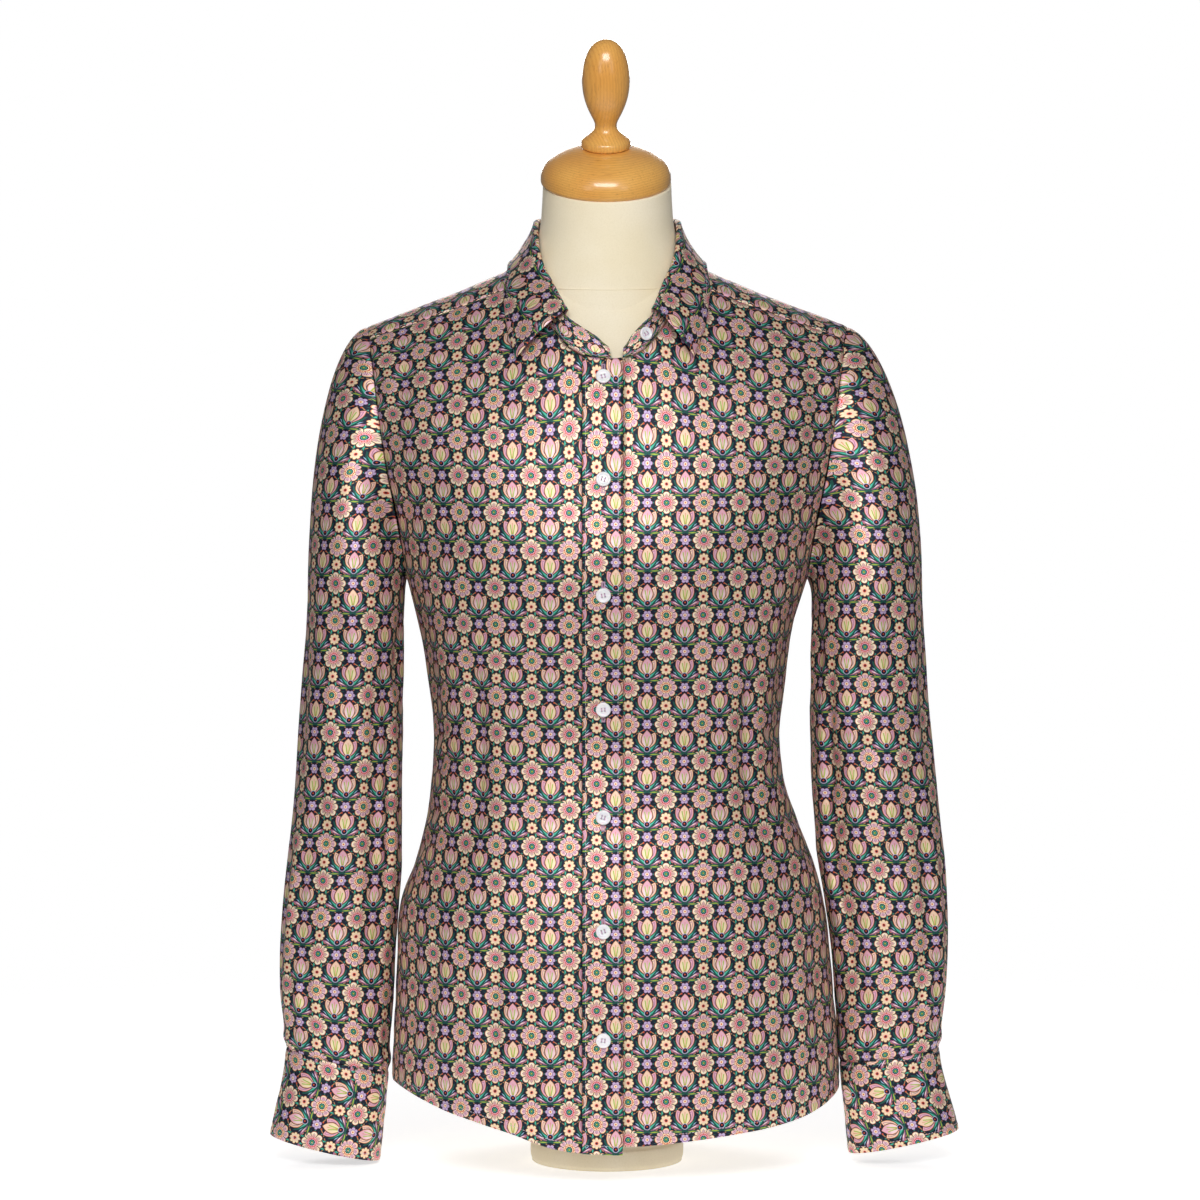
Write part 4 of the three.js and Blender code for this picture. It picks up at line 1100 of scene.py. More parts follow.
@dataclass(frozen=True)
class FlowerPrint:
    """Rosettes and tulips in turn, each in a fan of pointed leaves, with two small flowers between.

    The repeat is drawn in units of its own and then scaled to the cloth.
    """

    across: float = 45.0
    drop: float = 45.0
    unit: float = 0.64  # millimetres of cloth for one drawn unit
    wobble: float = 0.9
    wobble_scale: float = 260.0

    def coordinates(self, net: Net) -> tuple[Wire, Wire]:
        """Print coordinates with the slight wobble of a drawn line."""
        x, y = net.cloth_xy()
        inputs = {"Vector": net.cloth_uv(), "Scale": self.wobble_scale, "Detail": 1.0}
        noise = net.node("ShaderNodeTexNoise", inputs=inputs)
        shift_x, shift_y, _ = net.parts(noise.outputs[1])
        return (
            x * (1 / self.unit) + (shift_x - 0.5) * self.wobble,
            y * (1 / self.unit) + (shift_y - 0.5) * self.wobble,
        )

    def arcs(self, coats: Coats, x: Wire, y: Wire) -> None:
        """Thin stems that swing from flower to flower."""
        wave = (y * (2 * math.pi / self.drop)).cos()
        stem = abs(abs(x) - (wave + 1) * (self.across / 4)) * 0.75
        coats.coat(TEAL, (1.15 - stem).inside(0.3))
        coats.coat(ORANGE, (0.5 - stem).inside(0.3))

    def rays(self, coats: Coats, r: Wire, turn: Wire, reach: float, count: int) -> None:
        """Pointed leaves all round a flower, dark teal and bright teal by turns.

        Args:
            coats: Where they are painted.
            r: Distance from the flower's middle.
            turn: Angle round it.
            reach: How far the leaves go out.
            count: Number of leaves of each colour.
        """
        step = 2 * math.pi / count
        rows = ((step / 2, reach - 1.5, NAVY, TEAL), (0.0, reach, TEAL, TURQUOISE))
        for shift, far, shade, light in rows:
            off = abs((turn + shift).wrap(step)) * r
            leaf = (far - r) * 0.24 - off
            coats.coat(shade, leaf.inside(0.3))
            coats.coat(light, (leaf - 0.8).inside(0.3))

    def rosette(self, coats: Coats, x: Wire, y: Wire, turnabout: Wire) -> None:
        """A round flower of two rings of petals with red stamens.

        Args:
            coats: Where it is painted.
            x: Coordinate across, from the flower's middle.
            y: Coordinate up.
            turnabout: 1 for the pink flowers, 0 for the cream ones.
        """
        r = (x * x + y * y) ** 0.5
        turn = y.angle(x)
        self.rays(coats, r, turn, 21.0, 10)
        crown = abs((turn * 4).cos())
        gap = abs((turn * 4).sin())
        edge = crown**0.5 * 3.6 + 10.0 - r
        coats.coat(NAVY, (edge + 1.3).inside(0.3))
        petals = coats.net.blend(CREAM, PINK, turnabout)
        body = coats.outlined(edge, ORANGE, petals, 0.65)
        coats.coat_by(turnabout, PALE_PINK, PEACH, body * (9.6 - r).inside(2.4))
        coats.coat_by(turnabout, CREAM, PALE_CREAM, body * (r - 11.4).inside(1.4))
        coats.coat(MAGENTA, body * (0.34 - r * gap / 4).inside() * (11.4 - r).inside())
        coats.coat(MAGENTA, body * (0.26 - abs(r * gap / 4 - 1.2)).inside() * (10.2 - r).inside())
        coats.coat(NAVY, (0.42 - r * crown / 4).inside() * (edge + 0.5).inside())
        inner = gap**0.5 * 2.0 + 5.6 - r
        coats.outlined(inner, ORANGE, coats.net.blend(PINK, CREAM, turnabout), 0.6)
        dot = ((r - 5.2) ** 2 + ((turn * 8).sin() * r / 8) ** 2) ** 0.5
        coats.coat(RED, (0.7 - dot).inside())
        coats.coat(NAVY, (3.4 + gap * 0.5 - r).inside())
        coats.coat(TURQUOISE, (0.34 - abs(r - 2.2)).inside())
        coats.coat(LIME, (1.1 - r).inside())

    def tulip(self, coats: Coats, x: Wire, y: Wire, turnabout: Wire) -> None:
        """An upright flower with a striped cup between pointed leaves.

        Args:
            coats: Where it is painted.
            x: Coordinate across, from the flower's middle.
            y: Coordinate up.
            turnabout: 1 for the cream flowers, 0 for the pink ones.
        """
        side = abs(x)
        leaves = (
            ((0, -12), 70, 20.0, 2.2, MAGENTA, PALE_PINK),
            ((0, -14), 88, 17.0, 1.8, TEAL, LIME),
            ((0, -13), 53, 22.0, 2.0, NAVY, SKY),
            ((0, -14), 36, 24.0, 3.2, TEAL, TURQUOISE),
        )
        for base, turn, length, half, shade, vein in leaves:
            shape = petal(side, y, base, turn, length, half)
            coats.coat(shade, shape.inside())
            coats.coat(vein, (shape - half * 0.62).inside(0.3))
        cheek = petal(side, y, (0.2, -7.0), 26, 22.0, 5.4)
        coats.coat(NAVY, (cheek + 1.0).inside(0.3))
        coats.outlined(cheek, ORANGE, coats.net.blend(PEACH, PINK, turnabout), 0.6)
        coats.coat(MAGENTA, (0.3 - abs(cheek - 2.4)).inside())
        heart = petal(x, y, (0, -7.5), 0, 23.0, 6.6)
        coats.coat(NAVY, (heart + 0.7).inside(0.3))
        fill = coats.outlined(heart, ORANGE, coats.net.blend(PALE_PINK, CREAM, turnabout), 0.65)
        coats.coat_by(turnabout, PEACH, PINK, fill * (y - 5.5).inside(6.0))
        stripe = (0.6 - abs(side - (y + 8) * 0.17)).inside() * (8 - y).inside()
        coats.coat(LIME, (heart - 1.4).inside() * stripe)
        coats.coat(ORANGE, (heart - 1.4).inside() * (0.3 - side).inside() * (10 - y).inside())
        cup = (x * x + (y + 7.4) ** 2) ** 0.5
        coats.coat(LILAC, (3.7 - cup).inside())
        coats.coat(NAVY, (3.0 - cup).inside())
        coats.coat(RED, (0.9 - (side * side + (y + 7.0) ** 2) ** 0.5).inside())
        tip = ((side - 4.2) ** 2 + (y - 15.4) ** 2) ** 0.5
        coats.coat(RED, (0.9 - tip).inside())

    def small_flowers(self, coats: Coats, x: Wire, y: Wire) -> None:
        """A lilac star beside the rosette and a cream daisy above it."""
        star_x = (x - self.across / 2).wrap(self.across)
        r = (star_x * star_x + y * y) ** 0.5
        edge = abs((y.angle(star_x) * 3).cos()) ** 0.6 * 2.6 + 3.7 - r
        coats.coat(NAVY, (edge + 0.8).inside(0.3))
        coats.outlined(edge, MAGENTA, LILAC, 0.45)
        coats.coat(MAGENTA, (0.3 - abs(r - 3.0)).inside())
        coats.coat(CREAM, (2.0 - r).inside())
        coats.coat(RED, (0.9 - r).inside())
        daisy_y = (y - self.drop / 2).wrap(self.drop)
        r = (x * x + daisy_y * daisy_y) ** 0.5
        edge = abs((daisy_y.angle(x) * 4).cos()) ** 0.5 * 2.7 + 4.3 - r
        coats.coat(NAVY, (edge + 0.8).inside(0.3))
        coats.outlined(edge, ORANGE, CREAM, 0.55)
        coats.coat(PEACH, (4.0 - r).inside(1.4))
        coats.coat(RED, (2.0 - r).inside())
        coats.coat(NAVY, (1.1 - r).inside())

    def paint(self, net: Net) -> Socket:
        """Paints the whole repeat.

        Args:
            net: The material's net.

        Returns:
            The colour socket.
        """
        u, v = self.coordinates(net)
        x, y = u.wrap(self.across), v.wrap(self.drop)
        coats = Coats(net, NAVY)
        across, up = u * (math.pi / self.across), v * (math.pi / self.drop)
        self.arcs(coats, x, y)
        self.rosette(coats, x, y, (across.cos() * up.cos()).inside(0.001))
        self.tulip(
            coats,
            (x - self.across / 2).wrap(self.across),
            (y - self.drop / 2).wrap(self.drop),
            (across.sin() * up.sin()).inside(0.001),
        )
        self.small_flowers(coats, x, y)
        return coats.result


@dataclass(frozen=True)
class PrintedSilk:
    """Fine printed silk with a soft sheen and a slight twill."""

    print: FlowerPrint = FlowerPrint()
    roughness: float = 0.53
    tint: float = 0.5  # how far the sheen takes the dye's colour
    twill: float = 0.42  # width of one twill rib
    fade: float = 0.42  # how much paler the reverse is

    def material(self, reverse: bool = False) -> Material:
        """Makes the finish of the face or of the reverse."""
        net = Net("silk_reverse" if reverse else "silk_face")
        shade = self.print.paint(net)
        if reverse:
            shade = net.blend(shade, colour("6d6678"), self.fade)
        u, v = net.cloth_xy()
        ribs = ((u + v) * (2 * math.pi / self.twill)).sin() * 0.5 + 0.5
        uv = net.cloth_uv()
        slub = net.noise(net.stretched(uv, (1.0, 0.12, 1.0)), 900.0)
        height = ribs * 0.6 + slub * 0.8
        cloudy = net.noise(uv, 38.0)
        return net.surface(
            {
                "Base Color": shade,
                "Roughness": cloudy * 0.1 + (self.roughness - 0.05),
                "Metallic": self.tint,
                "Specular IOR Level": 0.5,
                "Normal": net.bump(height, 0.00006, 0.45),
            }
        )


@dataclass(frozen=True)
class SewingThread:
    """Twisted polyester thread."""

    shade: Colour = colour("dcc6d2")

    def material(self, name: str = "thread") -> Material:
        """Makes the finish."""
        net = Net(name)
        place = net.place()
        tone = net.noise(place, 700.0)
        dark = tuple(0.62 * v for v in self.shade)
        return net.surface(
            {
                "Base Color": net.blend(dark, self.shade, (tone * 1.6 - 0.2).clamped()),
                "Roughness": 0.55,
                "Sheen Weight": 0.2,
                "Normal": net.bump(net.noise(place, 5200.0), 0.00008, 0.6),
            }
        )


@dataclass(frozen=True)
class ShellButton:
    """White pearly button stuff."""

    def material(self) -> Material:
        """Makes the finish."""
        net = Net("button_white")
        place = net.place()
        cloud = net.noise(net.stretched(place, (1.0, 1.0, 2.4)), 260.0, 3.0)
        shade = net.blend(colour("f1eef3"), colour("fbfafb"), (cloud * 2.2 - 0.6).clamped())
        return net.surface(
            {
                "Base Color": shade,
                "Roughness": cloud * 0.12 + 0.2,
                "Specular IOR Level": 0.6,
                "Coat Weight": 0.35,
                "Coat Roughness": 0.12,
                "Subsurface Weight": 0.12,
                "Subsurface Scale": 0.002,
            }
        )


@dataclass(frozen=True)
class JerseyCover:
    """Matt cream jersey stretched over the form."""

    rib: float = 0.9  # width of one stitch column
    course: float = 0.63  # height of one stitch row

    def material(self) -> Material:
        """Makes the finish."""
        net = Net("jersey_cover")
        place = net.place()
        across, _, up = net.parts(place)
        wale, course = 2 * math.pi / (self.rib * MM), 2 * math.pi / (self.course * MM)
        knit = (across * wale).sin() * (up * course).sin()
        cloud = net.noise(place, 16.0, 3.0)
        fine = net.noise(place, 900.0, 3.0)
        base = net.blend(colour("f6e8c7"), colour("fdf2d9"), (cloud * 2.4 - 0.7).clamped())
        shade = net.blend(base, colour("e4d6b3"), (fine * 1.2 - 0.52).clamped() * 0.6)
        return net.surface(
            {
                "Base Color": shade,
                "Roughness": fine * 0.14 + 0.78,
                "Specular IOR Level": 0.25,
                "Sheen Weight": 0.18,
                "Normal": net.bump(knit * 0.3 + fine, 0.00012, 0.35),
            }
        )


@dataclass(frozen=True)
class VarnishedBeech:
    """Honey-coloured turned beech under clear varnish."""

    name: str
    board: bool  # True for the cap, which is turned from a board lying flat

    def material(self) -> Material:
        """Makes the finish with grain along the board or along the turning axis."""
        net = Net(self.name)
        place = net.place()
        x, y, z = net.parts(place)
        along, flow = (3.0, 3.0, 0.3), (1.0, 1.0, 0.12)
        if self.board:
            along, flow = (0.3, 3.0, 3.0), (0.16, 1.0, 1.0)
        warp = net.noise(net.stretched(place, flow), 26.0)
        if self.board:
            turn = (z + y * 0.35 - x * x * 6.0) * (3.1 / MM) + warp * 14.0
        else:
            turn = (x + y * 0.45 + z * 0.05) * (2.4 / MM) + warp * 11.0
        rings = turn.sin() * 0.5 + 0.5
        flecks = net.noise(net.stretched(place, along), 420.0, 3.0)
        cloud = net.noise(place, 22.0, 2.0)
        base = net.blend(colour("eba64c"), colour("f8bf64"), (cloud * 2.0 - 0.5).clamped())
        lined = net.blend(base, colour("c67c34"), rings**2.0 * 0.26)
        shade = net.blend(lined, colour("8f4f22"), (flecks * 3.2 - 1.7).clamped() * 0.55)
        return net.surface(
            {
                "Base Color": shade,
                "Roughness": cloud * 0.08 + 0.3,
                "Specular IOR Level": 0.5,
                "Coat Weight": 0.75,
                "Coat Roughness": 0.14,
                "Normal": net.bump(rings * 0.5 + flecks * 0.5, 0.00008, 0.25),
            }
        )


class Finishes:
    """All finishes, made once."""

    def __init__(self) -> None:
        """Makes every material."""
        self.silk = PrintedSilk().material()
        self.silk_reverse = PrintedSilk().material(reverse=True)
        self.thread = SewingThread().material()
        self.pale_thread = SewingThread(colour("d6aecb")).material("thread_pale")
        self.button = ShellButton().material()
        self.jersey = JerseyCover().material()
        self.cap = VarnishedBeech("beech_cap", True).material()
        self.finial = VarnishedBeech("beech_finial", False).material()


# Pieces of the shirt


@dataclass(frozen=True)
class Cut:
    """Flat size that a piece was cut to, for what shows of it."""

    width: float
    length: float
    share: float = 1.0  # of width times length


def dress(cloth: Cloth, finishes: Finishes, cut: Cut, node: str) -> None:
    """Args:
        cloth: The finished grid.
        finishes: All finishes.
        cut: Its flat size in metres.
        node: The frame's node that it stands for.
    """
    piece = cloth.build(finishes.silk, finishes.silk_reverse)
    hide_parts(node)
    area = cut.width * cut.length * cut.share
    LOG.info("%s: %.4f square metres, cut %.4f", cloth.name, cloth.area(), area)


@dataclass
class Front:
    """One front of the shirt, from its band to the side seam, armhole and yoke."""

    side: int
    inner: float
    hem: str
    cut: Cut
    print_shift: tuple[float, float]
    corner: float = 0.26  # share of the columns that end at the neckline
    rows: int = 176

    @property
    def name(self) -> str:
        """The wearer's side."""
        return "right" if self.side < 0 else "left"

    def grid(self) -> Cloth:
        """Works out the front's grid."""
        figure = FIGURE
        inner = np.linspace(0, self.corner, 19)
        u = np.concatenate((inner, np.linspace(self.corner, 1, 39)[1:]))[None, :]
        v = np.linspace(0, 1, self.rows)[:, None]

        def inner_phi(h: Array) -> Array:
            """Angle of the edge at the band."""
            return np.abs(figure.phi_at(self.side * self.inner, h, True))

        def outer_phi(h: Array) -> Array:
            """Angle of the side seam or the armhole."""
            seam = math.pi / 2 - (SEAM / 2) / figure.half(self.side, h)
            armhole = figure.phi_at(self.side * (ARMHOLE.at(h, "front") - SEAM / 2), h, True)
            return np.where(h <= figure.underarm, seam, np.abs(armhole))

        t = mix(EASED_EDGE * abs(self.inner), NECK_CORNER, np.minimum(u / self.corner, 1))
        across = np.maximum((u - self.corner) / (1 - self.corner), 0)
        arm = ARMHOLE.at(YOKE_FRONT, "front") - SEAM / 2
        outer = u > self.corner
        top_x = np.where(outer, mix(NECK_SIDE, arm, across), NECKLINE.at(t, "x"))
        top_h = np.where(outer, YOKE_FRONT - SEAM, figure.ridge + NECKLINE.at(t, "g"))
        low = np.full(u.shape, HEM_READ)
        hem_x = figure.point(self.side * mix(inner_phi(low), outer_phi(low), u), low)[..., 0]
        h, drop = figure.climb(v, HEM.at(hem_x, self.hem), top_h)
        top_phi = np.abs(figure.phi_at(top_x, top_h, True))
        top_share = (top_phi - inner_phi(top_h)) / (outer_phi(top_h) - inner_phi(top_h))
        share = mix(u, np.clip(top_share, 0, 1), np.maximum(v - LOWER_ROWS, 0) / (1 - LOWER_ROWS))
        phi = self.side * mix(inner_phi(h), outer_phi(h), share)
        normal = figure.normal(phi, h)
        points = figure.point(phi, h, drop) + normal * figure.relief(phi, h)[..., None]
        uv = np.stack((figure.girth(phi, h, 0.0), figure.rise(h, True) + drop), axis=-1)
        return Cloth(f"front_{self.name}_cloth", points, uv + np.array(self.print_shift), normal)

    def build(self, finishes: Finishes, sewing: Sewing) -> None:
        """Makes the front and sews its edges."""
        cloth = self.grid()
        for edge in (Edge.FIRST, Edge.LAST, Edge.HIGH):
            cloth.finish_edge(edge, 0, seam=True)
        cloth.finish_edge(Edge.LOW, HEM_STITCH)
        dress(cloth, finishes, self.cut, f"front_{self.name}")
        sewing.row(cloth.line(Edge.LOW, HEM_STITCH, (1, 3)))


@dataclass
class Band:
    """A band down the front, on top for the buttonholes and under it for the buttons."""

    name: str
    node: str
    start: float
    end: float
    lift: float
    hem: str
    print_shift: tuple[float, float]
    stitched: bool
    rows: int = 190
    columns: int = 15
    first_stitch: float = 2.2
    last_stitch: float = 3.4

    def grid(self) -> Cloth:
        """Works out the band's grid."""
        figure = FIGURE
        u = np.linspace(0, 1, self.columns)[None, :]
        v = np.linspace(0, 1, self.rows)[:, None]
        x = mix(self.start, self.end, u) + 0 * v
        top = figure.ridge + NECKLINE.at(EASED_EDGE * np.abs(x), "g")
        h, drop = figure.climb(v + 0 * u, HEM.at(x, self.hem), top)
        phi = figure.phi_at(x, h, True)
        normal = figure.normal(phi, h)
        height = self.lift + figure.relief(phi, h)
        points = figure.point(phi, h, drop) + normal * height[..., None]
        uv = np.stack((x, figure.rise(h, True) + drop), axis=-1) + np.array(self.print_shift)
        return Cloth(self.name, points, uv, normal)

    def build(self, finishes: Finishes, sewing: Sewing) -> Cloth:
        """Makes the band and its stitching."""
        cloth = self.grid()
        lines = ((Edge.FIRST, self.first_stitch), (Edge.LAST, self.last_stitch)) if self.stitched else ()
        for edge, inset in lines:
            cloth.finish_edge(edge, inset)
        if self.stitched:
            cloth.lift(0.28 * unevenness(cloth.uv[..., 0], cloth.uv[..., 1], 34, 7.7))
        cloth.finish_edge(Edge.LOW, HEM_STITCH)
        dress(cloth, finishes, Cut(0.030, 0.62), self.node)
        for edge, inset in lines:
            sewing.row(cloth.line(edge, inset, (3, 1)))
        if self.stitched:
            sewing.row(cloth.line(Edge.LOW, HEM_STITCH, (1, 1)))
        return cloth


def yoke_back_height(x: Array, seam_z: float = 622) -> Array:
    """Nominal height at which the back yoke seam keeps its real height over x."""
    figure = FIGURE
    share = (seam_z - figure.chest) / (SHOULDER.at(np.abs(x), "z") - figure.chest)
    return figure.chest + (figure.ridge - figure.chest) * np.arcsin(share) / (math.pi / 2)


@dataclass
class Back:
    """The back in one piece, shaped by two darts."""

    cut: Cut
    rows: int = 170
    columns: int = 121

    def grid(self) -> Cloth:
        """Works out the back's grid."""
        figure = FIGURE
        u = np.linspace(-1, 1, self.columns)[None, :]
        v = np.linspace(0, 1, self.rows)[:, None]
        side = np.where(u < 0, -1.0, 1.0)
        out = np.abs(u)

        def seam(h: Array) -> Array:
            """Angle from the middle of the back to the side seam or the armhole."""
            straight = math.pi / 2 - (SEAM / 2) / figure.half(u, h)
            armhole = math.pi - np.abs(figure.phi_at(ARMHOLE.at(h, "back") - SEAM / 2, h, False))
            return np.where(h <= figure.underarm, straight, armhole)

        low = np.full(u.shape, HEM_READ)
        hem_x = figure.point(side * (math.pi - seam(low) * out), low)[..., 0]
        top = yoke_back_height(out * ARMHOLE.at(YOKE_BACK, "back"))
        for _ in range(4):
            top = yoke_back_height(figure.point(side * (math.pi - seam(top) * out), top)[..., 0])
        h, drop = figure.climb(v, HEM.at(hem_x, "back"), top - SEAM)
        phi = side * (math.pi - seam(h) * out)
        normal = figure.normal(phi, h)
        points = figure.point(phi, h, drop) + normal * figure.relief(phi, h)[..., None]
        girths = (-figure.girth(phi, h, start) for start in (-math.pi, math.pi))
        round_back = np.where(phi < 0, *girths)
        uv = np.stack((round_back, figure.rise(h, False) + drop), axis=-1)
        return Cloth("back_cloth", points, uv, normal)

    def build(self, finishes: Finishes, sewing: Sewing) -> None:
        """Makes the back and sews its hem."""
        cloth = self.grid()
        for edge in (Edge.FIRST, Edge.LAST, Edge.HIGH):
            cloth.finish_edge(edge, 0, seam=True)
        cloth.finish_edge(Edge.LOW, HEM_STITCH)
        dress(cloth, finishes, self.cut, "back")
        sewing.row(cloth.line(Edge.LOW, HEM_STITCH, (3, 3)))


@dataclass
class Yoke:
    """The yoke over both shoulders, from the front seams to the back seam."""

    cut: Cut
    neck_share: float = 0.4  # share of the columns that start at the neckline
    rows: int = 46
    stitch: float = 2.0
    clear_of_neck: float = 64  # where the front seams' stitches begin

    def grid(self) -> Cloth:
        """Works out the yoke's grid."""
        figure = FIGURE
        inner = np.linspace(0, self.neck_share, 25)
        half = np.concatenate((inner, np.linspace(self.neck_share, 1, 31)[1:]))
        u = np.concatenate((-half[:0:-1], half))[None, :]
        v = np.linspace(0, 1, self.rows)[:, None]
        side = np.where(u < 0, -1.0, 1.0)
        out = np.abs(u)
        arm_front = ARMHOLE.at(YOKE_FRONT, "front") - SEAM / 2
        t = mix(1, NECK_CORNER, np.minimum(out / self.neck_share, 1))
        over = out > self.neck_share
        along = np.maximum((out - self.neck_share) / (1 - self.neck_share), 0)
        top_x = np.where(over, mix(NECK_SIDE, arm_front, along), NECKLINE.at(t, "x"))
        top_g = np.where(over, YOKE_FRONT - figure.ridge + SEAM, NECKLINE.at(t, "g"))
        low_x = out * (ARMHOLE.at(YOKE_BACK, "back") - SEAM / 2)
        low_g = figure.ridge - yoke_back_height(low_x) - SEAM
        g = mix(top_g, low_g, v)
        level = figure.ridge - np.abs(g)
        armhole = np.where(g <= 0, ARMHOLE.at(level, "front"), ARMHOLE.at(level, "back")) - SEAM / 2
        straight = mix(top_x, low_x, v)
        x = np.where(over, mix(straight, armhole, out**8), straight)
        phi = figure.phi_at(side * x, level, g <= 0)
        normal = figure.normal(phi, level)
        lift = 0.5 * unevenness(side * x, g, 58, 2.2) - 0.5 * bell(side * x + 118, 16, g, -44, 60)
        points = figure.point(phi, level) + normal * lift[..., None]
        levels = np.linspace(-120, 120, 161)
        column = figure.over_ridge(np.full(levels.shape, 110.0), levels)
        uv = np.stack((side * x + 9, -np.interp(g, levels, run_along(column))), axis=-1)
        return Cloth("yoke_cloth", points, uv, normal)

    def build(self, finishes: Finishes, sewing: Sewing) -> None:
        """Makes the yoke with stitching along its seams."""
        cloth = self.grid()
        for edge in Edge:
            cloth.finish_edge(edge, 0, seam=True)
        dress(cloth, finishes, self.cut, "yoke")
        sewing.row(cloth.line(Edge.HIGH, self.stitch, (2, 2)))
        points, normals = cloth.line(Edge.LOW, self.stitch, (2, 2))
        for part in (points[:, 0] < -self.clear_of_neck, points[:, 0] > self.clear_of_neck):
            sewing.row((points[part], normals[part]))


@dataclass
class Sleeve:
    """A long set-in sleeve with its cuff and the bound slit above it."""

    name: str
    side: int
    table: Table
    cuff_top: float
    cuff_end: float
    cut: Cut
    cuff_cut: Cut
    seed: float
    around: int = 108
    cuff_start: float = 262
    cuff_lap: float = 30
    cuff_corner: float = 7
    round: float = 0.92
    crease_scale: float = 1.5  # depth of the creases against their table
    puff: float = 1.5  # how far the fullness swells over the cuff's seam
    cuff_stitch: float = 5.0
    seam_stitch: float = 2.4
    slit_stitch: float = 1.6

    def section(self, theta: Array, z: Array, lift: Array | float = 0.0) -> Array:
        """Points of the sleeve's or cuff's section at an angle and a height."""
        theta, z = np.broadcast_arrays(np.asarray(theta, float), np.asarray(z, float))
        degrees = np.degrees(theta) % 360
        inset = -np.asarray(lift, float) + np.zeros(theta.shape)
        for angle, low, high, width, depth, lean in SLEEVE_FOLDS.rows:
            place = angle + lean * (z - low) / (high - low) * self.side
            inset = inset + depth * bell(degrees - place, width, z, low, high)
        half = self.table.at(z, "half") - inset
        depth = self.table.at(z, "depth") - inset
        out = half * signed_power(np.cos(theta), self.round)
        front = depth * signed_power(np.sin(theta), self.round)
        return np.stack(
            (
                self.side * (self.table.at(z, "x") + out),
                self.table.at(z, "y") - front,
                z + self.table.at(z, "rise") * out,
            ),
            axis=-1,
        )

    def armhole(self, share: Array, front: bool) -> Array:
        """Points along the armhole, from the shoulder down to the underarm."""
        figure = FIGURE
        h = np.linspace(figure.ridge, figure.underarm, 241)
        x = self.side * (ARMHOLE.at(h, "front" if front else "back") + SEAM / 2)
        edge = figure.point(figure.phi_at(x, h, front), h)
        lengths = run_along(edge)
        want = share * lengths[-1]
        return np.stack([np.interp(want, lengths, edge[:, k]) for k in range(3)], axis=-1)

    def grid(self) -> Cloth:
        """Works out the sleeve's grid: the cap in curves, then sections down to the cuff."""
        theta = np.arange(self.around) * 2 * math.pi / self.around
        share = np.where(theta <= math.pi, theta / math.pi, 2 - theta / math.pi)
        front = (theta <= math.pi)[:, None]
        heads = np.where(front, self.armhole(share, True), self.armhole(share, False))
        away = unit(np.array((self.side, 0, -0.36)))
        first = self.table.rows[0][0]
        start = heads + away * SEAM / 2
        start[:, 0] += self.side * np.maximum(-np.cos(theta), 0) * 0.4
        end = self.section(theta, np.full(theta.shape, first))
        reach = np.linalg.norm(end - start, axis=1)[:, None]
        near = start + away * 0.12 * reach
        far = end + np.array((0, 0, 0.6)) * reach
        cap = curve(start, near, far, end, (np.linspace(0, 1, 46) ** 0.9)[:, None, None])
        z = np.linspace(first, self.cuff_top + SEAM, 132)[1:, None]
        points = np.concatenate((cap, self.section(theta[None, :], z)))
        up = np.concatenate((run_along(cap[::-1])[::-1], np.repeat(z - first, self.around, axis=1)))
        run = run_along(np.concatenate((points, points[:, :1]), axis=1)[..., :2], 1)
        run[: len(cap)] = run[len(cap) - 1]
        run = run - run[:, self.around // 4][:, None]
        up = np.concatenate((up, up[:, :1]), axis=1)
        uv = np.stack((-run * self.side, up), axis=-1) + self.seed * 7.3
        middle = points.mean(axis=1, keepdims=True)
        cloth = Cloth(f"sleeve_{self.name}_cloth", points, uv, points - middle, closed=True)
        self.wrinkle(cloth, theta, points)
        return cloth

    def wrinkle(self, cloth: Cloth, theta: Array, drawn: Array) -> None:
        """Lays creases, gathers and the seams' dents into the sleeve."""
        degrees = np.degrees(theta)[None, :] + 0 * drawn[..., 2]
        level = drawn[..., 2]
        shifted = level + 6 * math.sin(self.seed)
        sunk = self.crease_scale * crease_depth(SLEEVE_CREASES, degrees, shifted, 0.8)
        broad = 0.8 * unevenness(degrees * 0.8, level, 77, self.seed)
        fine = 0.22 * unevenness(degrees * 0.8, level, 27, self.seed + 2)
        closing = np.minimum(degrees, 360 - degrees) / 40
        height = (broad + fine) * np.clip(closing, 0.25, 1) - sunk
        from_cuff = level - (self.cuff_top + SEAM) - self.table.at(level, "rise") * 30
        for angle, width, depth, reach in GATHERS.rows:
            place = angle + 9 * math.sin(self.seed * 3 + angle)
            turn = ((degrees - place + 180) % 360 - 180) * 0.75
            ridges = 0.5 * np.exp(-(((np.abs(turn) - 1.7 * width) / width) ** 2))
            trough = np.exp(-((turn / width) ** 2)) - ridges
            height -= depth * trough * np.exp(-np.maximum(from_cuff, 0) / reach)
        row = np.arange(len(drawn))[::-1, None]  # counted up from the cuff's seam
        height += self.puff * np.exp(-(((row - 3.2) / 2.0) ** 2)) - np.exp(-((row / 1.3) ** 2))
        from_armhole = run_along(drawn)
        height -= 0.9 * np.exp(-((from_armhole / 1.8) ** 2))
        steps = np.diff(drawn[:1], axis=1, append=drawn[:1, :1])
        along = np.cumsum(np.linalg.norm(steps, axis=-1), axis=1)
        pucker = np.sin(along * 2 * math.pi / 9.5 + np.sin(along / 13))
        height += 0.32 * pucker * np.exp(-(((from_armhole - 3.5) / 4.5) ** 2))
        height *= 1 - 0.6 * np.exp(-((from_armhole / 1.0) ** 2))
        cloth.lift(cloth.reordered(height) if cloth.turned else height)

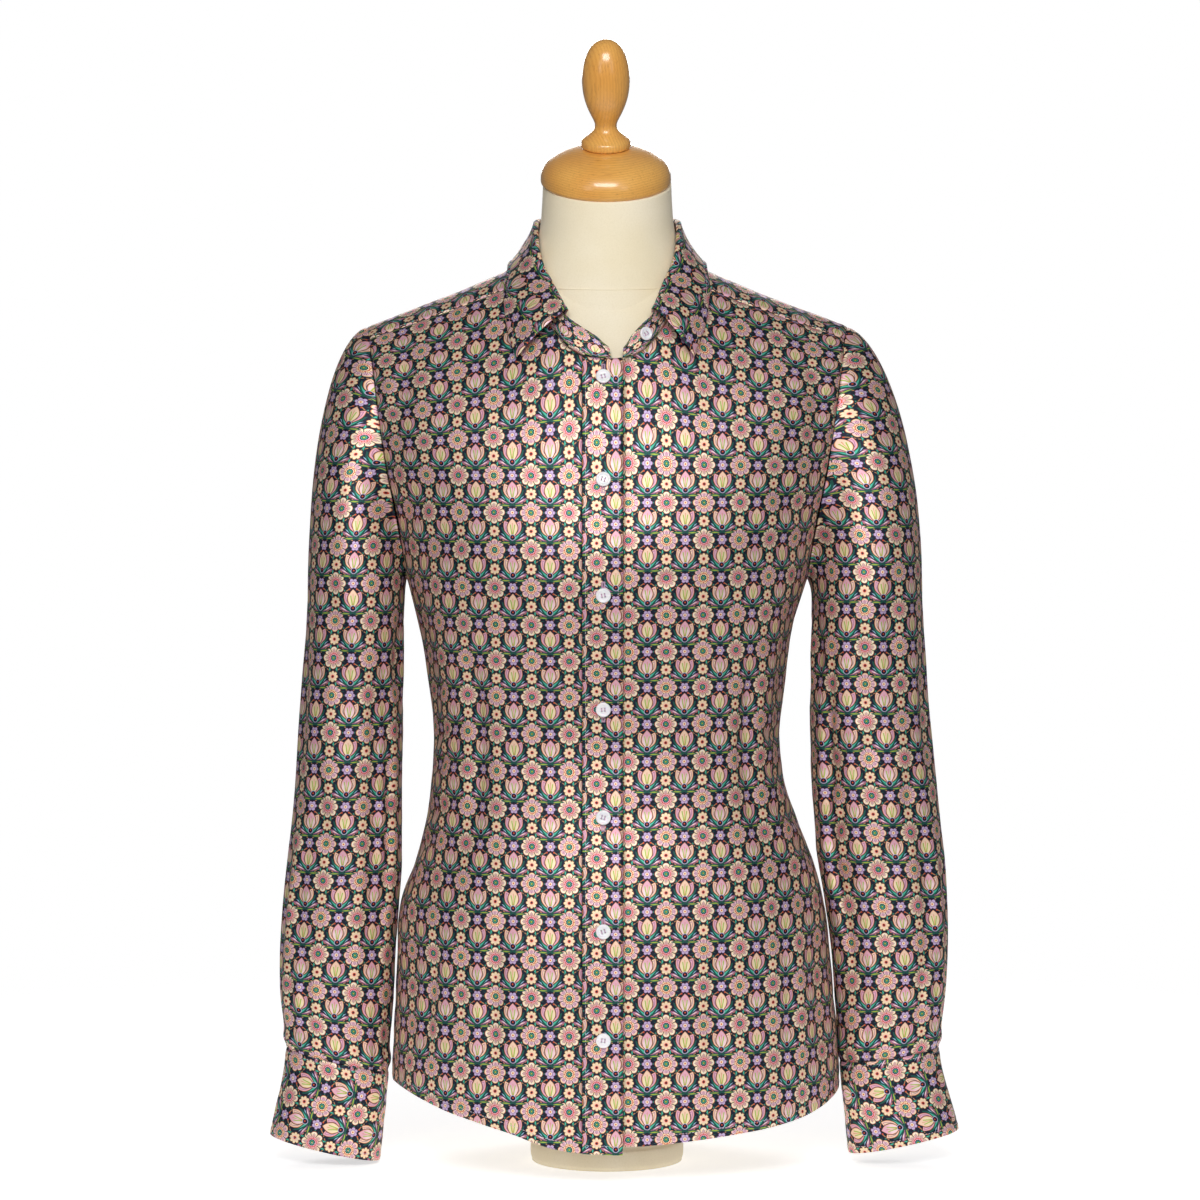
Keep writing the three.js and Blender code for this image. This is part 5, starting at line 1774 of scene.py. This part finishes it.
    def cuff(self) -> Cloth:
        """Works out the cuff's grid: a band that laps over itself at the back."""
        turn = 360 + self.cuff_lap
        u = np.linspace(0, 1, 150)[None, :]
        v = np.linspace(0, 1, 24)[:, None]
        angle = self.cuff_start + u * turn
        lap = ease(u * turn, turn - self.cuff_lap - 16, turn - self.cuff_lap + 1) * (WALL + SEAM + 0.1)
        girth = math.radians(turn) * self.table.at(self.cuff_end, "half") * 0.8
        corner = np.maximum(self.cuff_corner - (1 - u) * girth, 0)
        rise = self.cuff_corner - np.sqrt(self.cuff_corner**2 - corner**2)
        z = mix(self.cuff_top, self.cuff_end + rise, v)
        sag = 0.35 * unevenness(angle * 0.8 + 0 * v, z, 33, self.seed + 5)
        points = self.section(np.radians(angle), z, lap + sag)
        middle = np.stack((self.side * self.table.at(z, "x"), self.table.at(z, "y"), z), axis=-1)
        uv = np.stack((z + 11, run_along(points, 1) * self.side), axis=-1)
        return Cloth(f"cuff_{self.name}_cloth", points, uv, points - middle)

    def placket(self) -> Cloth:
        """Works out the bound slit's grid."""
        u = np.linspace(0, 1, 13)[None, :]
        v = np.linspace(0, 1, 40)[:, None]
        theta = np.radians(self.cuff_start + self.cuff_lap - 14 + 26 * u)
        z = mix(self.cuff_top + 0.6, self.cuff_top + 95, v)
        points = self.section(theta, z, WALL + SEAM + 0.9)
        run = (theta - theta[0, 0]) * 40 + 0 * z
        uv = np.stack((run, z + 0 * theta), axis=-1)
        return Cloth(f"placket_{self.name}_cloth", points, uv + 5, np.array((0.0, 1.0, 0.0)))

    def build(self, finishes: Finishes, sewing: Sewing) -> None:
        """Makes sleeve, cuff and slit with their stitching."""
        dress(self.grid(), finishes, self.cut, f"sleeve_{self.name}")
        cuff = self.cuff()
        cuff.finish_edge(Edge.LOW, self.seam_stitch, seam=True)
        for edge in (Edge.HIGH, Edge.FIRST, Edge.LAST):
            cuff.finish_edge(edge, self.cuff_stitch)
        dress(cuff, finishes, self.cuff_cut, f"cuff_{self.name}")
        for edge in (Edge.HIGH, Edge.LAST):
            sewing.row(cuff.line(edge, self.cuff_stitch, (5, 5)))
        sewing.row(cuff.line(Edge.LOW, self.seam_stitch, (5, 5)))
        placket = self.placket()
        for edge in (Edge.FIRST, Edge.LAST):
            placket.finish_edge(edge, self.slit_stitch)
        dress(placket, finishes, Cut(0.020, 0.094), f"sleeve_placket_{self.name}")
        for edge in (Edge.FIRST, Edge.LAST, Edge.HIGH):
            sewing.row(placket.line(edge, self.slit_stitch, (self.slit_stitch,) * 2))


@dataclass
class Collar:
    """Collar stand and the leaf that folds over it, open at the front."""

    leaf_start: float = 0.19
    stand_in: float = 0.35
    roll_front: float = 4.2
    roll_back: float = 2.3
    leaf_stitch: float = 4.0
    columns: int = 104

    def base(self, t: Array, side: Array) -> Array:
        """The neckline, where the stand is sewn on."""
        along = np.where(side < 0, t, t + 0.048 * (1 - ease(t, 0, 0.25)))
        x = NECKLINE.at(along, "x")
        g = NECKLINE.at(along, "g")
        shift = np.where(side < 0, 3 * (1 - ease(t, 0, 0.19)), 0)
        inward = unit(np.stack((-x, -25 - g), axis=-1)) * self.stand_in
        return FIGURE.over_ridge(side * (x + inward[..., 0]) + shift, g + inward[..., 1])

    def top(self, t: Array, side: Array) -> Array:
        """The stand's top edge."""
        right = np.stack([STAND_TOP.at(t, f"{axis}_right") for axis in "xyz"], axis=-1)
        left = np.stack([STAND_TOP.at(t, f"{axis}_left") for axis in "xyz"], axis=-1)
        right = right * np.array((-1.0, 1.0, 1.0))
        return np.where((side < 0)[..., None], right, left)

    def outward(self, t: Array, side: Array) -> Array:
        """Level directions away from the neck."""
        away = self.base(t, side) + np.array((0.0, 6.0, 0.0))
        away[..., 2] = 0
        return unit(away)

    def stations(self, start: float) -> tuple[Array, Array]:
        """Places round the collar from the wearer's right end to the left end."""
        half = np.linspace(start, 1, self.columns)
        t = np.concatenate((half, half[-2::-1]))
        side = np.concatenate((-np.ones(len(half)), np.ones(len(half) - 1)))
        return t, side

    def stand(self) -> Cloth:
        """Works out the stand's grid."""
        t, side = self.stations(0.0)
        v = np.linspace(0, 1, 15)[:, None]
        blunt = 0.16 * (1 - ease(t, 0, 0.05))[None, :]
        share = (v * (1 - blunt))[..., None]
        points = mix(self.base(t, side)[None], self.top(t, side)[None], share)
        run = run_along(points[7])[None, :]
        uv = np.stack((run + 0 * v, v * 34 + 0 * run), axis=-1)
        outward = np.broadcast_to(self.outward(t, side), points.shape)
        return Cloth("collar_stand_cloth", points, uv + 3.0, outward)

    def leaf(self) -> Cloth:
        """Works out the leaf's grid: a roll over the stand's edge, then the fall."""
        t, side = self.stations(self.leaf_start)
        top, base = self.top(t, side), self.base(t, side)
        up = unit(top - base)
        along = self.top(np.minimum(t + 0.03, 1), side) - self.top(np.maximum(t - 0.03, 0), side)
        out = unit(np.cross(along, up))
        flip = (out * self.outward(t, side)).sum(axis=-1, keepdims=True) < 0
        out = np.where(flip, -out, out)
        radius = mix(self.roll_front, self.roll_back, ease(t, self.leaf_start, 0.4))[:, None]
        centre = top + out * (radius - 1.3) + up * (SEAM + 0.1)
        arcs = np.radians(np.linspace(180, 0, 17))[:, None, None]
        fold = centre + out * radius * np.cos(arcs) + up * radius * np.sin(arcs)
        x = side * (LEAF_EDGE.at(t, "x") - np.where(side > 0, LEAF_EDGE.at(t, "left_in"), 0))
        g = LEAF_EDGE.at(t, "g")
        edge = FIGURE.over_ridge(x, g, LEAF_EDGE.at(t, "lift"))
        start = fold[-1]
        fall = np.linalg.norm(edge - start, axis=1)[:, None]
        rise = unit(FIGURE.over_ridge(x, g, np.full(t.shape, 20.0)) - FIGURE.over_ridge(x, g))
        flat = ease(np.abs(t - 0.6), 0.02, 0.24)[:, None]
        near = start - up * 0.16 * fall + out * mix(-0.04, 0.12, flat) * fall
        far = mix(edge, start, 0.3) + rise * mix(-0.08, 0.13, flat) * fall
        drape = curve(start, near, far, edge, np.linspace(0, 1, 34)[1:, None, None])
        points = np.concatenate((fold, drape))
        down = run_along(points)
        uv = np.stack((run_along(points[30])[None, :] + 0 * down, -down), axis=-1)
        outward = self.outward(t, side) + np.array((0.0, 0.0, 0.6))
        return Cloth("collar_leaf_cloth", points, uv + 17.0, np.broadcast_to(outward, points.shape))

    def build(self, finishes: Finishes, sewing: Sewing) -> None:
        """Makes stand and leaf with their topstitching."""
        stand = self.stand()
        lines = ((Edge.HIGH, 2.6), (Edge.LOW, 2.0), (Edge.FIRST, 3.0), (Edge.LAST, 3.0))
        for edge, inset in (lines[1], lines[0], *lines[2:]):
            stand.finish_edge(edge, inset, seam=edge is Edge.LOW)
        dress(stand, finishes, Cut(0.48, 0.030, 0.72), "collar_stand")
        for edge, inset in lines:
            sewing.row(stand.line(edge, inset, (3, 3)))
        leaf = self.leaf()
        waves = unevenness(leaf.uv[..., 0], leaf.uv[..., 1], 52, 3.4)
        leaf.lift(0.5 * waves * ease(leaf.from_edge(Edge.LOW), 12, 30))
        edges = (Edge.HIGH, Edge.FIRST, Edge.LAST)
        for edge in edges:
            leaf.finish_edge(edge, self.leaf_stitch)
        dress(leaf, finishes, Cut(0.49, 0.065, 0.7), "collar_leaf")
        for edge in edges:
            sewing.row(leaf.line(edge, self.leaf_stitch, (4, 4)))


# Buttons


@dataclass
class Button:
    """A four-hole button with its sewing thread."""

    node: str
    radius: float
    facing: Vector
    spin: float = 0.0
    hole_at: float = 1.2
    hole: float = 0.62
    around: int = 120

    PROFILE = Table(
        ("share", "z"),
        (
            (0, 2.18), (0.5, 2.2), (0.62, 2.32), (0.7, 2.62), (0.8, 2.8), (0.9, 2.66), (0.97, 2.3),
            (1, 1.9),
        ),
    )

    UNDERSIDE = ((0.985, 1.45), (0.92, 1.0), (0.8, 0.72), (0.3, 0.7), (0.27, 0.1), (0.05, 0.0))

    def placing(self, frame: dict) -> Matrix:
        """Works out where the frame holds the button.


        Returns:
            A matrix from the button's own millimetres to the row frame's millimetres.
        """
        data = frame["nodes"][self.node].data
        cloud = np.array([v.co for v in data.vertices]) / MM
        low, high = cloud.min(axis=0), cloud.max(axis=0)
        _, _, axes = np.linalg.svd(cloud - (low + high) / 2, full_matrices=False)
        axis = Vector(axes[2])
        if axis.dot(self.facing) < 0:
            axis.negate()
        along = cloud @ np.array(axis)
        across = cloud[along > along.min() + 1.2]
        middle = (across.min(axis=0) + across.max(axis=0)) / 2
        foot = Vector(middle) - axis * (float(np.dot(middle, axis)) - float(along.min()))
        side = Vector((0, 0, 1)).cross(axis).normalized()
        upward = axis.cross(side)
        turn = Matrix((side, upward, axis)).transposed().to_4x4()
        return Matrix.Translation(foot) @ turn @ Matrix.Rotation(self.spin, 4, "Z")

    def shape(self) -> tuple[Array, list[list[int]]]:
        """Top with rim and holes, edge and underside, in the button's own place."""
        parts = (np.linspace(0.02, 0.13, 4), np.linspace(0.15, 0.44, 17), np.linspace(0.48, 1.0, 16))
        shares = np.concatenate(parts)
        top = np.array([circle(share * self.radius, 0.0, self.around) for share in shares])
        x, y = top[..., 0], top[..., 1]
        z = self.PROFILE.at(shares, "z")[:, None] + 0 * x
        for at_x, at_y in ((-1, -1), (-1, 1), (1, -1), (1, 1)):
            away = np.hypot(x - at_x * self.hole_at, y - at_y * self.hole_at)
            z = z - 1.5 * (1 - ease(away, self.hole - 0.16, self.hole + 0.14))
        top[..., 2] = z
        under = [circle(share * self.radius, height, self.around) for share, height in self.UNDERSIDE]
        rings = np.concatenate((top, np.array(under)))
        last = (len(rings) - 1) * self.around
        faces = ring_quads(len(rings), self.around)[:, (0, 3, 2, 1)].tolist()
        faces += [list(range(self.around)), list(range(last + self.around - 1, last - 1, -1))]
        return rings.reshape(-1, 3), faces

    def threads(self) -> tuple[Array, Array]:
        """Two bars of thread, each between two holes and three strands wide."""
        share = np.linspace(-1, 1, 13)
        bow = 0.42 * np.sqrt(np.maximum(1 - share**2, 0)) - 5.4 * np.maximum(np.abs(share) - 0.86, 0)
        strands = [bar * self.hole_at + shift for bar in (-1, 1) for shift in (-0.26, 0.0, 0.26)]
        paths = [np.stack((0 * share + x, share * self.hole_at, 2.18 + bow), axis=1) for x in strands]
        return joined([tube(path, 0.16, 7) for path in paths])

    def build(self, frame: dict, finishes: Finishes) -> None:
        """Makes the button where the frame has it."""
        points, faces = self.shape()
        threads, quads = self.threads()
        matrix = np.array(self.placing(frame))
        placed = np.concatenate((points, threads)) @ matrix[:3, :3].T + matrix[:3, 3]
        kinds = [0] * len(faces) + [1] * len(quads)
        faces += (quads + len(points)).tolist()
        materials = (finishes.button, finishes.pale_thread)
        piece = mesh_object(f"{self.node}_sewn", placed, faces, materials, kinds)
        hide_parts(self.node)


@dataclass
class Buttonholes:
    """Upright worked buttonholes in the band, one behind each front button."""

    band: Cloth
    heights: tuple[float, ...]
    x: float = -3.0
    length: float = 14.5
    gap: float = 0.9
    shift: tuple[float, ...] = (2.2, -2.6, 2.4, -2.2, -2.4, 2.0, -2.3)

    def surface(self, x: Array, z: Array) -> tuple[Array, Array]:
        """Points and normals of the band's face at given x and real height."""
        grid, normals = self.band.points, self.band.normals()
        rows = grid[:, grid.shape[1] // 2, 2]
        row = np.interp(z, rows, np.arange(len(rows)))
        columns = grid[grid.shape[0] // 2, :, 0]
        order = np.argsort(columns)
        column = np.interp(x, columns[order], np.arange(len(columns))[order])
        r0 = np.clip(row.astype(int), 0, grid.shape[0] - 2)
        c0 = np.clip(column.astype(int), 0, grid.shape[1] - 2)
        fr, fc = (row - r0)[:, None], (column - c0)[:, None]

        def read(values: Array) -> Array:
            """Reads the grid between its points."""
            low = mix(values[r0, c0], values[r0, c0 + 1], fc)
            return mix(low, mix(values[r0 + 1, c0], values[r0 + 1, c0 + 1], fc), fr)

        return read(grid), unit(read(normals))

    def build(self, finishes: Finishes) -> None:
        """Works the buttonholes in close short stitches."""
        work = Sewing("buttonholes", pitch=0.55, length=1.5, radius=0.26)
        for height, shift in zip(self.heights, self.shift):
            middle = height + shift
            z = np.arange(middle - self.length / 2, middle + self.length / 2, work.pitch)
            for side in (-1, 1):
                points, normals = self.surface(np.full(z.shape, self.x + side * self.gap), z)
                across = np.cross(normals, np.array((0.0, 0.0, 1.0)))
                work.add(points, unit(across), normals)
            for end in (z[0] - 0.2, z[-1] + 0.2):
                x = self.x + np.linspace(-1.2, 1.2, 5)
                points, normals = self.surface(x, np.full(x.shape, end))
                up = np.broadcast_to(np.array((0.0, 0.0, 1.0)), points.shape)
                work.add(points, np.array(up), normals)
        work.build(finishes.pale_thread)


# The dress form


@dataclass
class DressForm:
    """Torso and neck under a jersey cover, standing on a plain plinth."""

    bottom: float = 95
    clear: float = 0.8
    ease: float = 7
    plinth: float = 60
    neck_seam: float = 679.5
    around: int = 144

    def torso_point(self, phi: Array, h: Array) -> Array:
        """Points of the torso, which follows the shirt from inside."""
        figure = FIGURE
        inset = WALL + mix(self.ease, self.clear, ease(h, 590, 690))
        armhole = ARMHOLE.at(np.maximum(h, figure.underarm), "back")
        armhole = np.where(h > figure.underarm - 20, armhole, 1e3)
        half = np.minimum(figure.half(np.sin(phi), h), armhole) - inset - 4
        x, y = figure.ring(phi, half, figure.depth(phi, h) - inset - 1)
        dip = 4.4 * np.exp(-(((np.abs(x) - 66) / 17) ** 2))
        return figure.raised(x, y, h, SHOULDER.at(np.abs(x), "z") - WALL - self.clear - dip)

    def neck_point(self, theta: Array, f: Array) -> Array:
        """Points of the neck, whose sections tilt forward."""
        tilt = np.radians(NECK.at(f, "tilt"))
        depth = NECK.at(f, "depth") * np.cos(theta)
        return np.stack(
            (
                NECK.at(f, "half") * np.sin(theta),
                NECK.at(f, "y") - depth * np.cos(tilt),
                NECK.at(f, "z") - depth * np.sin(tilt),
            ),
            axis=-1,
        )

    def seam_line(self) -> Array:
        """Where the neck's cover is sewn to the torso's, nearly level across the front."""
        turns = np.radians(np.linspace(-88, 88, 89))[:, None]
        x = np.linspace(-60, 60, 121)
        level = self.neck_seam + 2.5 * (x / 60) ** 2
        surfaces = (
            self.neck_point(turns, np.linspace(0, 0.7, 241)),
            self.torso_point(turns, np.linspace(520, 699.6, 241)),
        )
        found = []
        for surface in surfaces:
            crossing = [[np.interp(self.neck_seam + 1, c[:, 2], c[:, k]) for k in (0, 1)] for c in surface]
            across, depth = np.array(crossing).T
            found.append(np.interp(x, across, depth))
        return np.stack((x, np.minimum(*found), level), axis=-1)

    def loft_faces(self, rows: int, cols: int, offset: int, capped: bool) -> list[list[int]]:
        """Quads between the rings of a loft, a flat foot and, if wanted, a flat top."""
        faces = (ring_quads(rows, cols) + offset).tolist() + [list(range(offset, offset + cols))[::-1]]
        last = offset + (rows - 1) * cols
        return faces + ([list(range(last, last + cols))] if capped else [])

    def build(self, finishes: Finishes) -> None:
        """Makes the covered form, its neck seam and the plinth."""
        cols = self.around
        around = (np.arange(cols) * 2 * math.pi / cols)[None, :]
        parts = (np.linspace(self.bottom, 540, 60), np.linspace(540, 699.6, 60)[1:])
        torso = self.torso_point(around, np.concatenate(parts)[:, None])
        neck = self.neck_point(around, np.linspace(0, 1, 60)[:, None])
        rim = mix(neck[-1:], neck[-1:].mean(axis=1, keepdims=True), 0.02) + np.array((0, -0.05, 0.16))
        neck = np.concatenate((neck, rim))
        vertices = np.concatenate((torso.reshape(-1, 3), neck.reshape(-1, 3)))
        faces = self.loft_faces(len(torso), cols, 0, False)
        last = (len(torso) - 1) * cols
        for c in range(-cols // 4, cols // 4):
            columns = c % cols, (c + 1) % cols, (cols // 2 - c - 1) % cols, (cols // 2 - c) % cols
            faces.append([last + column for column in columns])
        faces += self.loft_faces(len(neck), cols, torso.shape[0] * cols, True)
        piece = mesh_object("form_cover", vertices, faces, (finishes.jersey,))
        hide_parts("form_body")
        points, quads = tube(self.seam_line(), 0.6)
        mesh_object("neck_seam", points, quads.tolist(), (finishes.jersey,))
        self.build_plinth(finishes)

    def build_plinth(self, finishes: Finishes) -> None:
        """Makes the plinth with soft edges under its cover."""
        top, wide = self.bottom - SEAM, self.plinth
        profile = [(0.0, 0.0), (wide - 1.2, 0.0)]
        for angle in np.radians(np.linspace(-90, 90, 13)):
            profile.append((wide - 1.4 + 1.4 * math.cos(angle), 8.5 + 7.1 * math.sin(angle)))
        profile += [(wide - 3, 17.4), (wide - 3.4, 19), (wide - 3.2, 45)]
        profile += [(wide - 3, 75), (wide - 3, top), (0.0, top)]
        piece = turned("plinth_cover", profile, 96, finishes.jersey)
        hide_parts("form_plinth")


def turned(
    name: str,
    profile: Sequence[tuple[float, float]],
    sides: int,
    finish: Material,
    place: Matrix | None = None,
) -> bpy.types.Object:
    """Makes a turned solid on its own Z axis.

    Args:
        name: Name of the piece.
        profile: Radius and height of each ring; the ends lie on the axis.
        sides: Number of sides.
        finish: Its finish.
        place: Where it stands, in metres.

    Returns:
        The object.
    """
    rings = [circle(r, z, sides) for r, z in profile[1:-1]]
    vertices = np.concatenate([*rings, [(0, 0, profile[0][1])], [(0, 0, profile[-1][1])]])
    low = len(rings) * sides
    faces = ring_quads(len(rings), sides).tolist()
    for s in range(sides):
        beside = (s + 1) % sides
        faces += [(low, beside, s), (low + 1, low - sides + s, low - sides + beside)]
    return mesh_object(name, vertices, faces, (finish,), place=place)


@dataclass
class WoodenTop:
    """Cap and finial, turned on one axis that leans forward."""

    tilt: float = 19
    centre: tuple[float, float, float] = (-1, -12, 762)
    height: float = 29

    CAP = Table(
        ("z", "r"),
        (
            (0, 48.8), (1.6, 50.1), (5, 50.3), (9.5, 49.8), (14, 47.9), (18.4, 44.3), (22, 39.3),
            (24.9, 33.2), (27, 26.8), (28.3, 21), (29, 16),
        ),
    )
    FINIAL = Table(
        ("z", "r"),
        (
            (0, 18.4), (1, 18.9), (5, 18.9), (6, 18.4), (8, 16.2), (10.8, 12.4), (13.6, 9.6), (17.5, 8.4),
            (21, 9.3), (26.5, 12), (32.5, 14.6), (40, 16.9), (49, 18.2), (57, 18.3), (65.5, 17.2),
            (74.5, 14.4), (80.6, 10.4), (83.6, 6.4), (84.8, 3), (85.2, 0.6),
        ),
    )

    def turn(
        self,
        node: str,
        outline: Table,
        levels: Array,
        top: float,
        sides: int,
        rise: float,
        finish: Material,
    ) -> None:
        """Turns one piece and sets it on the leaning axis.

        Args:
            node: The frame's node that it stands for.
            outline: Radius at each height.
            levels: Heights of its rings.
            top: Height of its middle at the top.
            sides: Number of sides.
            rise: How far up the axis it stands.
            finish: Its finish.
        """
        profile = [(0.0, 0.0), *((float(outline.at(z, "r")), float(z)) for z in levels), (0.0, top)]
        lean = Matrix.Rotation(math.radians(self.tilt), 4, "X")
        foot = Vector(self.centre) + lean @ Vector((0, 0, rise))
        piece = turned(f"{node}_wood", profile, sides, finish, Matrix.Translation(foot * MM) @ lean)
        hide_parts(node)

    def build(self, finishes: Finishes) -> None:
        """Makes both pieces."""
        foot = np.linspace(0, 6, 13)
        cap = np.concatenate((foot, np.linspace(6, 28.9, 60)[1:]))
        finial = np.concatenate((foot, np.linspace(6, 83, 110)[1:], np.linspace(83.2, 85.2, 12)))
        self.turn("neck_cap", self.CAP, cap, self.height, 128, SEAM, finishes.cap)
        self.turn("finial", self.FINIAL, finial, 85.25, 96, 2 * SEAM + self.height, finishes.finial)


# Studio


@dataclass
class Studio:
    """Pale floor that fades into white, soft lights and the camera."""

    distance: float = 3.5
    elevation: float = 3.0
    target: tuple[float, float, float] = (-0.0055, 0.0, 0.439)
    frame_width: float = 0.936
    sensor: float = 36.0
    floor_radius: float = 1.1
    solid_floor: float = 0.2  # radius up to which the floor is solid
    glow: float = 0.62  # light that shines through the floor's paper from below
    dim: float = 0.16

    aim: Triple = (0.0, 0.0, 0.5)  # where the lights point

    # Name, place, size and watts; the last one stands behind and lights the back
    LIGHTS = (
        ("softbox_front", (0.0, -2.4, 1.62), (1.6, 0.8), 47.0),
        ("strip_left", (-1.5, -2.6, 0.75), (0.7, 1.2), 4.0),
        ("strip_right", (1.5, -2.6, 0.75), (0.7, 1.2), 3.5),
        ("softbox_back", (0.0, 2.6, 1.5), (1.6, 1.0), 36.0),
    )

    def stand(self, data: bpy.types.ID, place: Vector, target: Vector) -> bpy.types.Object:
        """Stands a camera or a light at a place and turns it to a target."""
        thing = bpy.data.objects.new(data.name, data)
        thing.location = place
        thing.rotation_mode = "QUATERNION"
        thing.rotation_quaternion = (target - place).to_track_quat("-Z", "Y")
        bpy.context.scene.collection.objects.link(thing)
        return thing

    def camera(self) -> None:
        """Sets the camera at the photograph's angle."""
        data = bpy.data.cameras.new("camera")
        data.sensor_width = self.sensor
        data.lens = self.sensor * self.distance / self.frame_width
        lift, target = math.radians(self.elevation), Vector(self.target)
        back = Vector((0, -math.cos(lift), math.sin(lift)))
        bpy.context.scene.camera = self.stand(data, target + back * self.distance, target)

    def floor(self) -> None:
        """Makes a pale round floor that fades out into the white."""
        net = Net("studio_paper")
        inputs = {
            "Base Color": (0.8, 0.8, 0.8),
            "Roughness": 0.9,
            "Emission Color": (1.0, 1.0, 1.0),
            "Emission Strength": self.glow,
        }
        paper = net.node("ShaderNodeBsdfPrincipled", inputs=inputs).outputs[0]
        clear = net.node("ShaderNodeBsdfTransparent").outputs[0]
        out = net.node("ShaderNodeVectorMath", {"operation": "LENGTH"}, {0: net.place()})
        fade = 1 / (self.floor_radius - self.solid_floor)
        near = Wire(net, out.outputs[1]) * -fade + self.floor_radius * fade
        shade = net.node("ShaderNodeMixShader", inputs={0: near.clamped(), 1: clear, 2: paper})
        net.node("ShaderNodeOutputMaterial", inputs={"Surface": shade.outputs[0]})
        ring = circle(self.floor_radius, 0.0, 64).tolist()
        mesh = bpy.data.meshes.new("studio_floor")
        mesh.from_pydata(ring, [], [tuple(range(len(ring)))])
        mesh.materials.append(net.owner)
        floor = bpy.data.objects.new("studio_floor", mesh)
        bpy.context.scene.collection.objects.link(floor)

    def surroundings(self) -> None:
        """Sets a white backdrop that lights the room only dimly."""
        net = Net("studio_world", "worlds")
        dim, white = (
            net.node("ShaderNodeBackground", inputs={0: (1.0, 1.0, 1.0), 1: power}).outputs[0]
            for power in (self.dim, 1.0)
        )
        seen = net.node("ShaderNodeLightPath").outputs["Is Camera Ray"]
        blend = net.node("ShaderNodeMixShader", inputs={0: seen, 1: dim, 2: white})
        net.node("ShaderNodeOutputWorld", inputs={0: blend.outputs[0]})
        bpy.context.scene.world = net.owner

    def build(self) -> None:
        """Sets up the studio."""
        self.camera()
        self.floor()
        for name, place, size, power in self.LIGHTS:
            data = bpy.data.lights.new(name, "AREA")
            data.shape = "RECTANGLE"
            data.size, data.size_y = size
            data.energy = power
            self.stand(data, Vector(place), Vector(self.aim))
        self.surroundings()
        bpy.context.scene.view_settings.view_transform = "Standard"


BUTTON_HEIGHTS = (613, 536, 449.5, 362, 279.5, 194.5, 112.5)
FRONT_WAY = Vector((0, -1, 0))
BACK_WAY = Vector((0, 1, 0))


def make_buttons(frame: dict, finishes: Finishes) -> None:
    """Makes all ten buttons, each turned a little differently."""
    for number in range(1, len(BUTTON_HEIGHTS) + 1):
        spin = 0.35 * math.sin(2.3 * number)
        Button(f"button_front_{number}", 5.7, FRONT_WAY, spin).build(frame, finishes)
    Button("button_stand", 5.2, FRONT_WAY, 0.5).build(frame, finishes)
    for name, spin in (("right", 0.2), ("left", -0.4)):
        Button(f"button_cuff_{name}", 5.2, BACK_WAY, spin).build(frame, finishes)
    LOG.info("buttons made")


def main() -> None:
    """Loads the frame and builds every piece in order."""
    logging.basicConfig(level=logging.INFO, format="%(name)s: %(message)s")
    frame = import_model()
    Studio().build()
    finishes = Finishes()
    body_sewing = Sewing("stitches_body")
    Front(-1, 17.5, "front_right", Cut(0.235, 0.65, 0.8), (0.0, 0.0)).build(finishes, body_sewing)
    Front(1, 11.5 + SEAM, "front_left", Cut(0.245, 0.65, 0.81), (13.0, 21.0)).build(finishes, body_sewing)
    top_band = Band(
        "band_right_cloth", "band_right", -18.5, 11.5, WALL + SEAM, "front_right", (8.0, 9.0), True
    ).build(finishes, body_sewing)
    Band(
        "band_left_cloth", "band_left", -17.5 + 2 * SEAM, 11.5, 0.0, "front_left", (3.0, 30.0), False
    ).build(finishes, body_sewing)
    Back(Cut(0.49, 0.605, 0.81)).build(finishes, body_sewing)
    Yoke(Cut(0.42, 0.167, 0.66)).build(finishes, body_sewing)
    body_sewing.build(finishes.thread)
    LOG.info("body made")
    sleeve_sewing = Sewing("stitches_cuffs")
    Sleeve(
        "right", -1, SLEEVE_RIGHT, 81.5, 12.5, Cut(0.33, 0.575, 0.74), Cut(0.26, 0.07), 1.9
    ).build(finishes, sleeve_sewing)
    Sleeve(
        "left", 1, SLEEVE_LEFT, 85, 17.5, Cut(0.34, 0.58, 0.74), Cut(0.26, 0.07), 0.7
    ).build(finishes, sleeve_sewing)
    sleeve_sewing.build(finishes.thread)
    LOG.info("sleeves made")
    collar_sewing = Sewing("stitches_collar")
    Collar().build(finishes, collar_sewing)
    collar_sewing.build(finishes.pale_thread)
    make_buttons(frame, finishes)
    Buttonholes(top_band, BUTTON_HEIGHTS).build(finishes)
    DressForm().build(finishes)
    WoodenTop().build(finishes)
    LOG.info("form made")


if __name__ == "__main__":
    main()
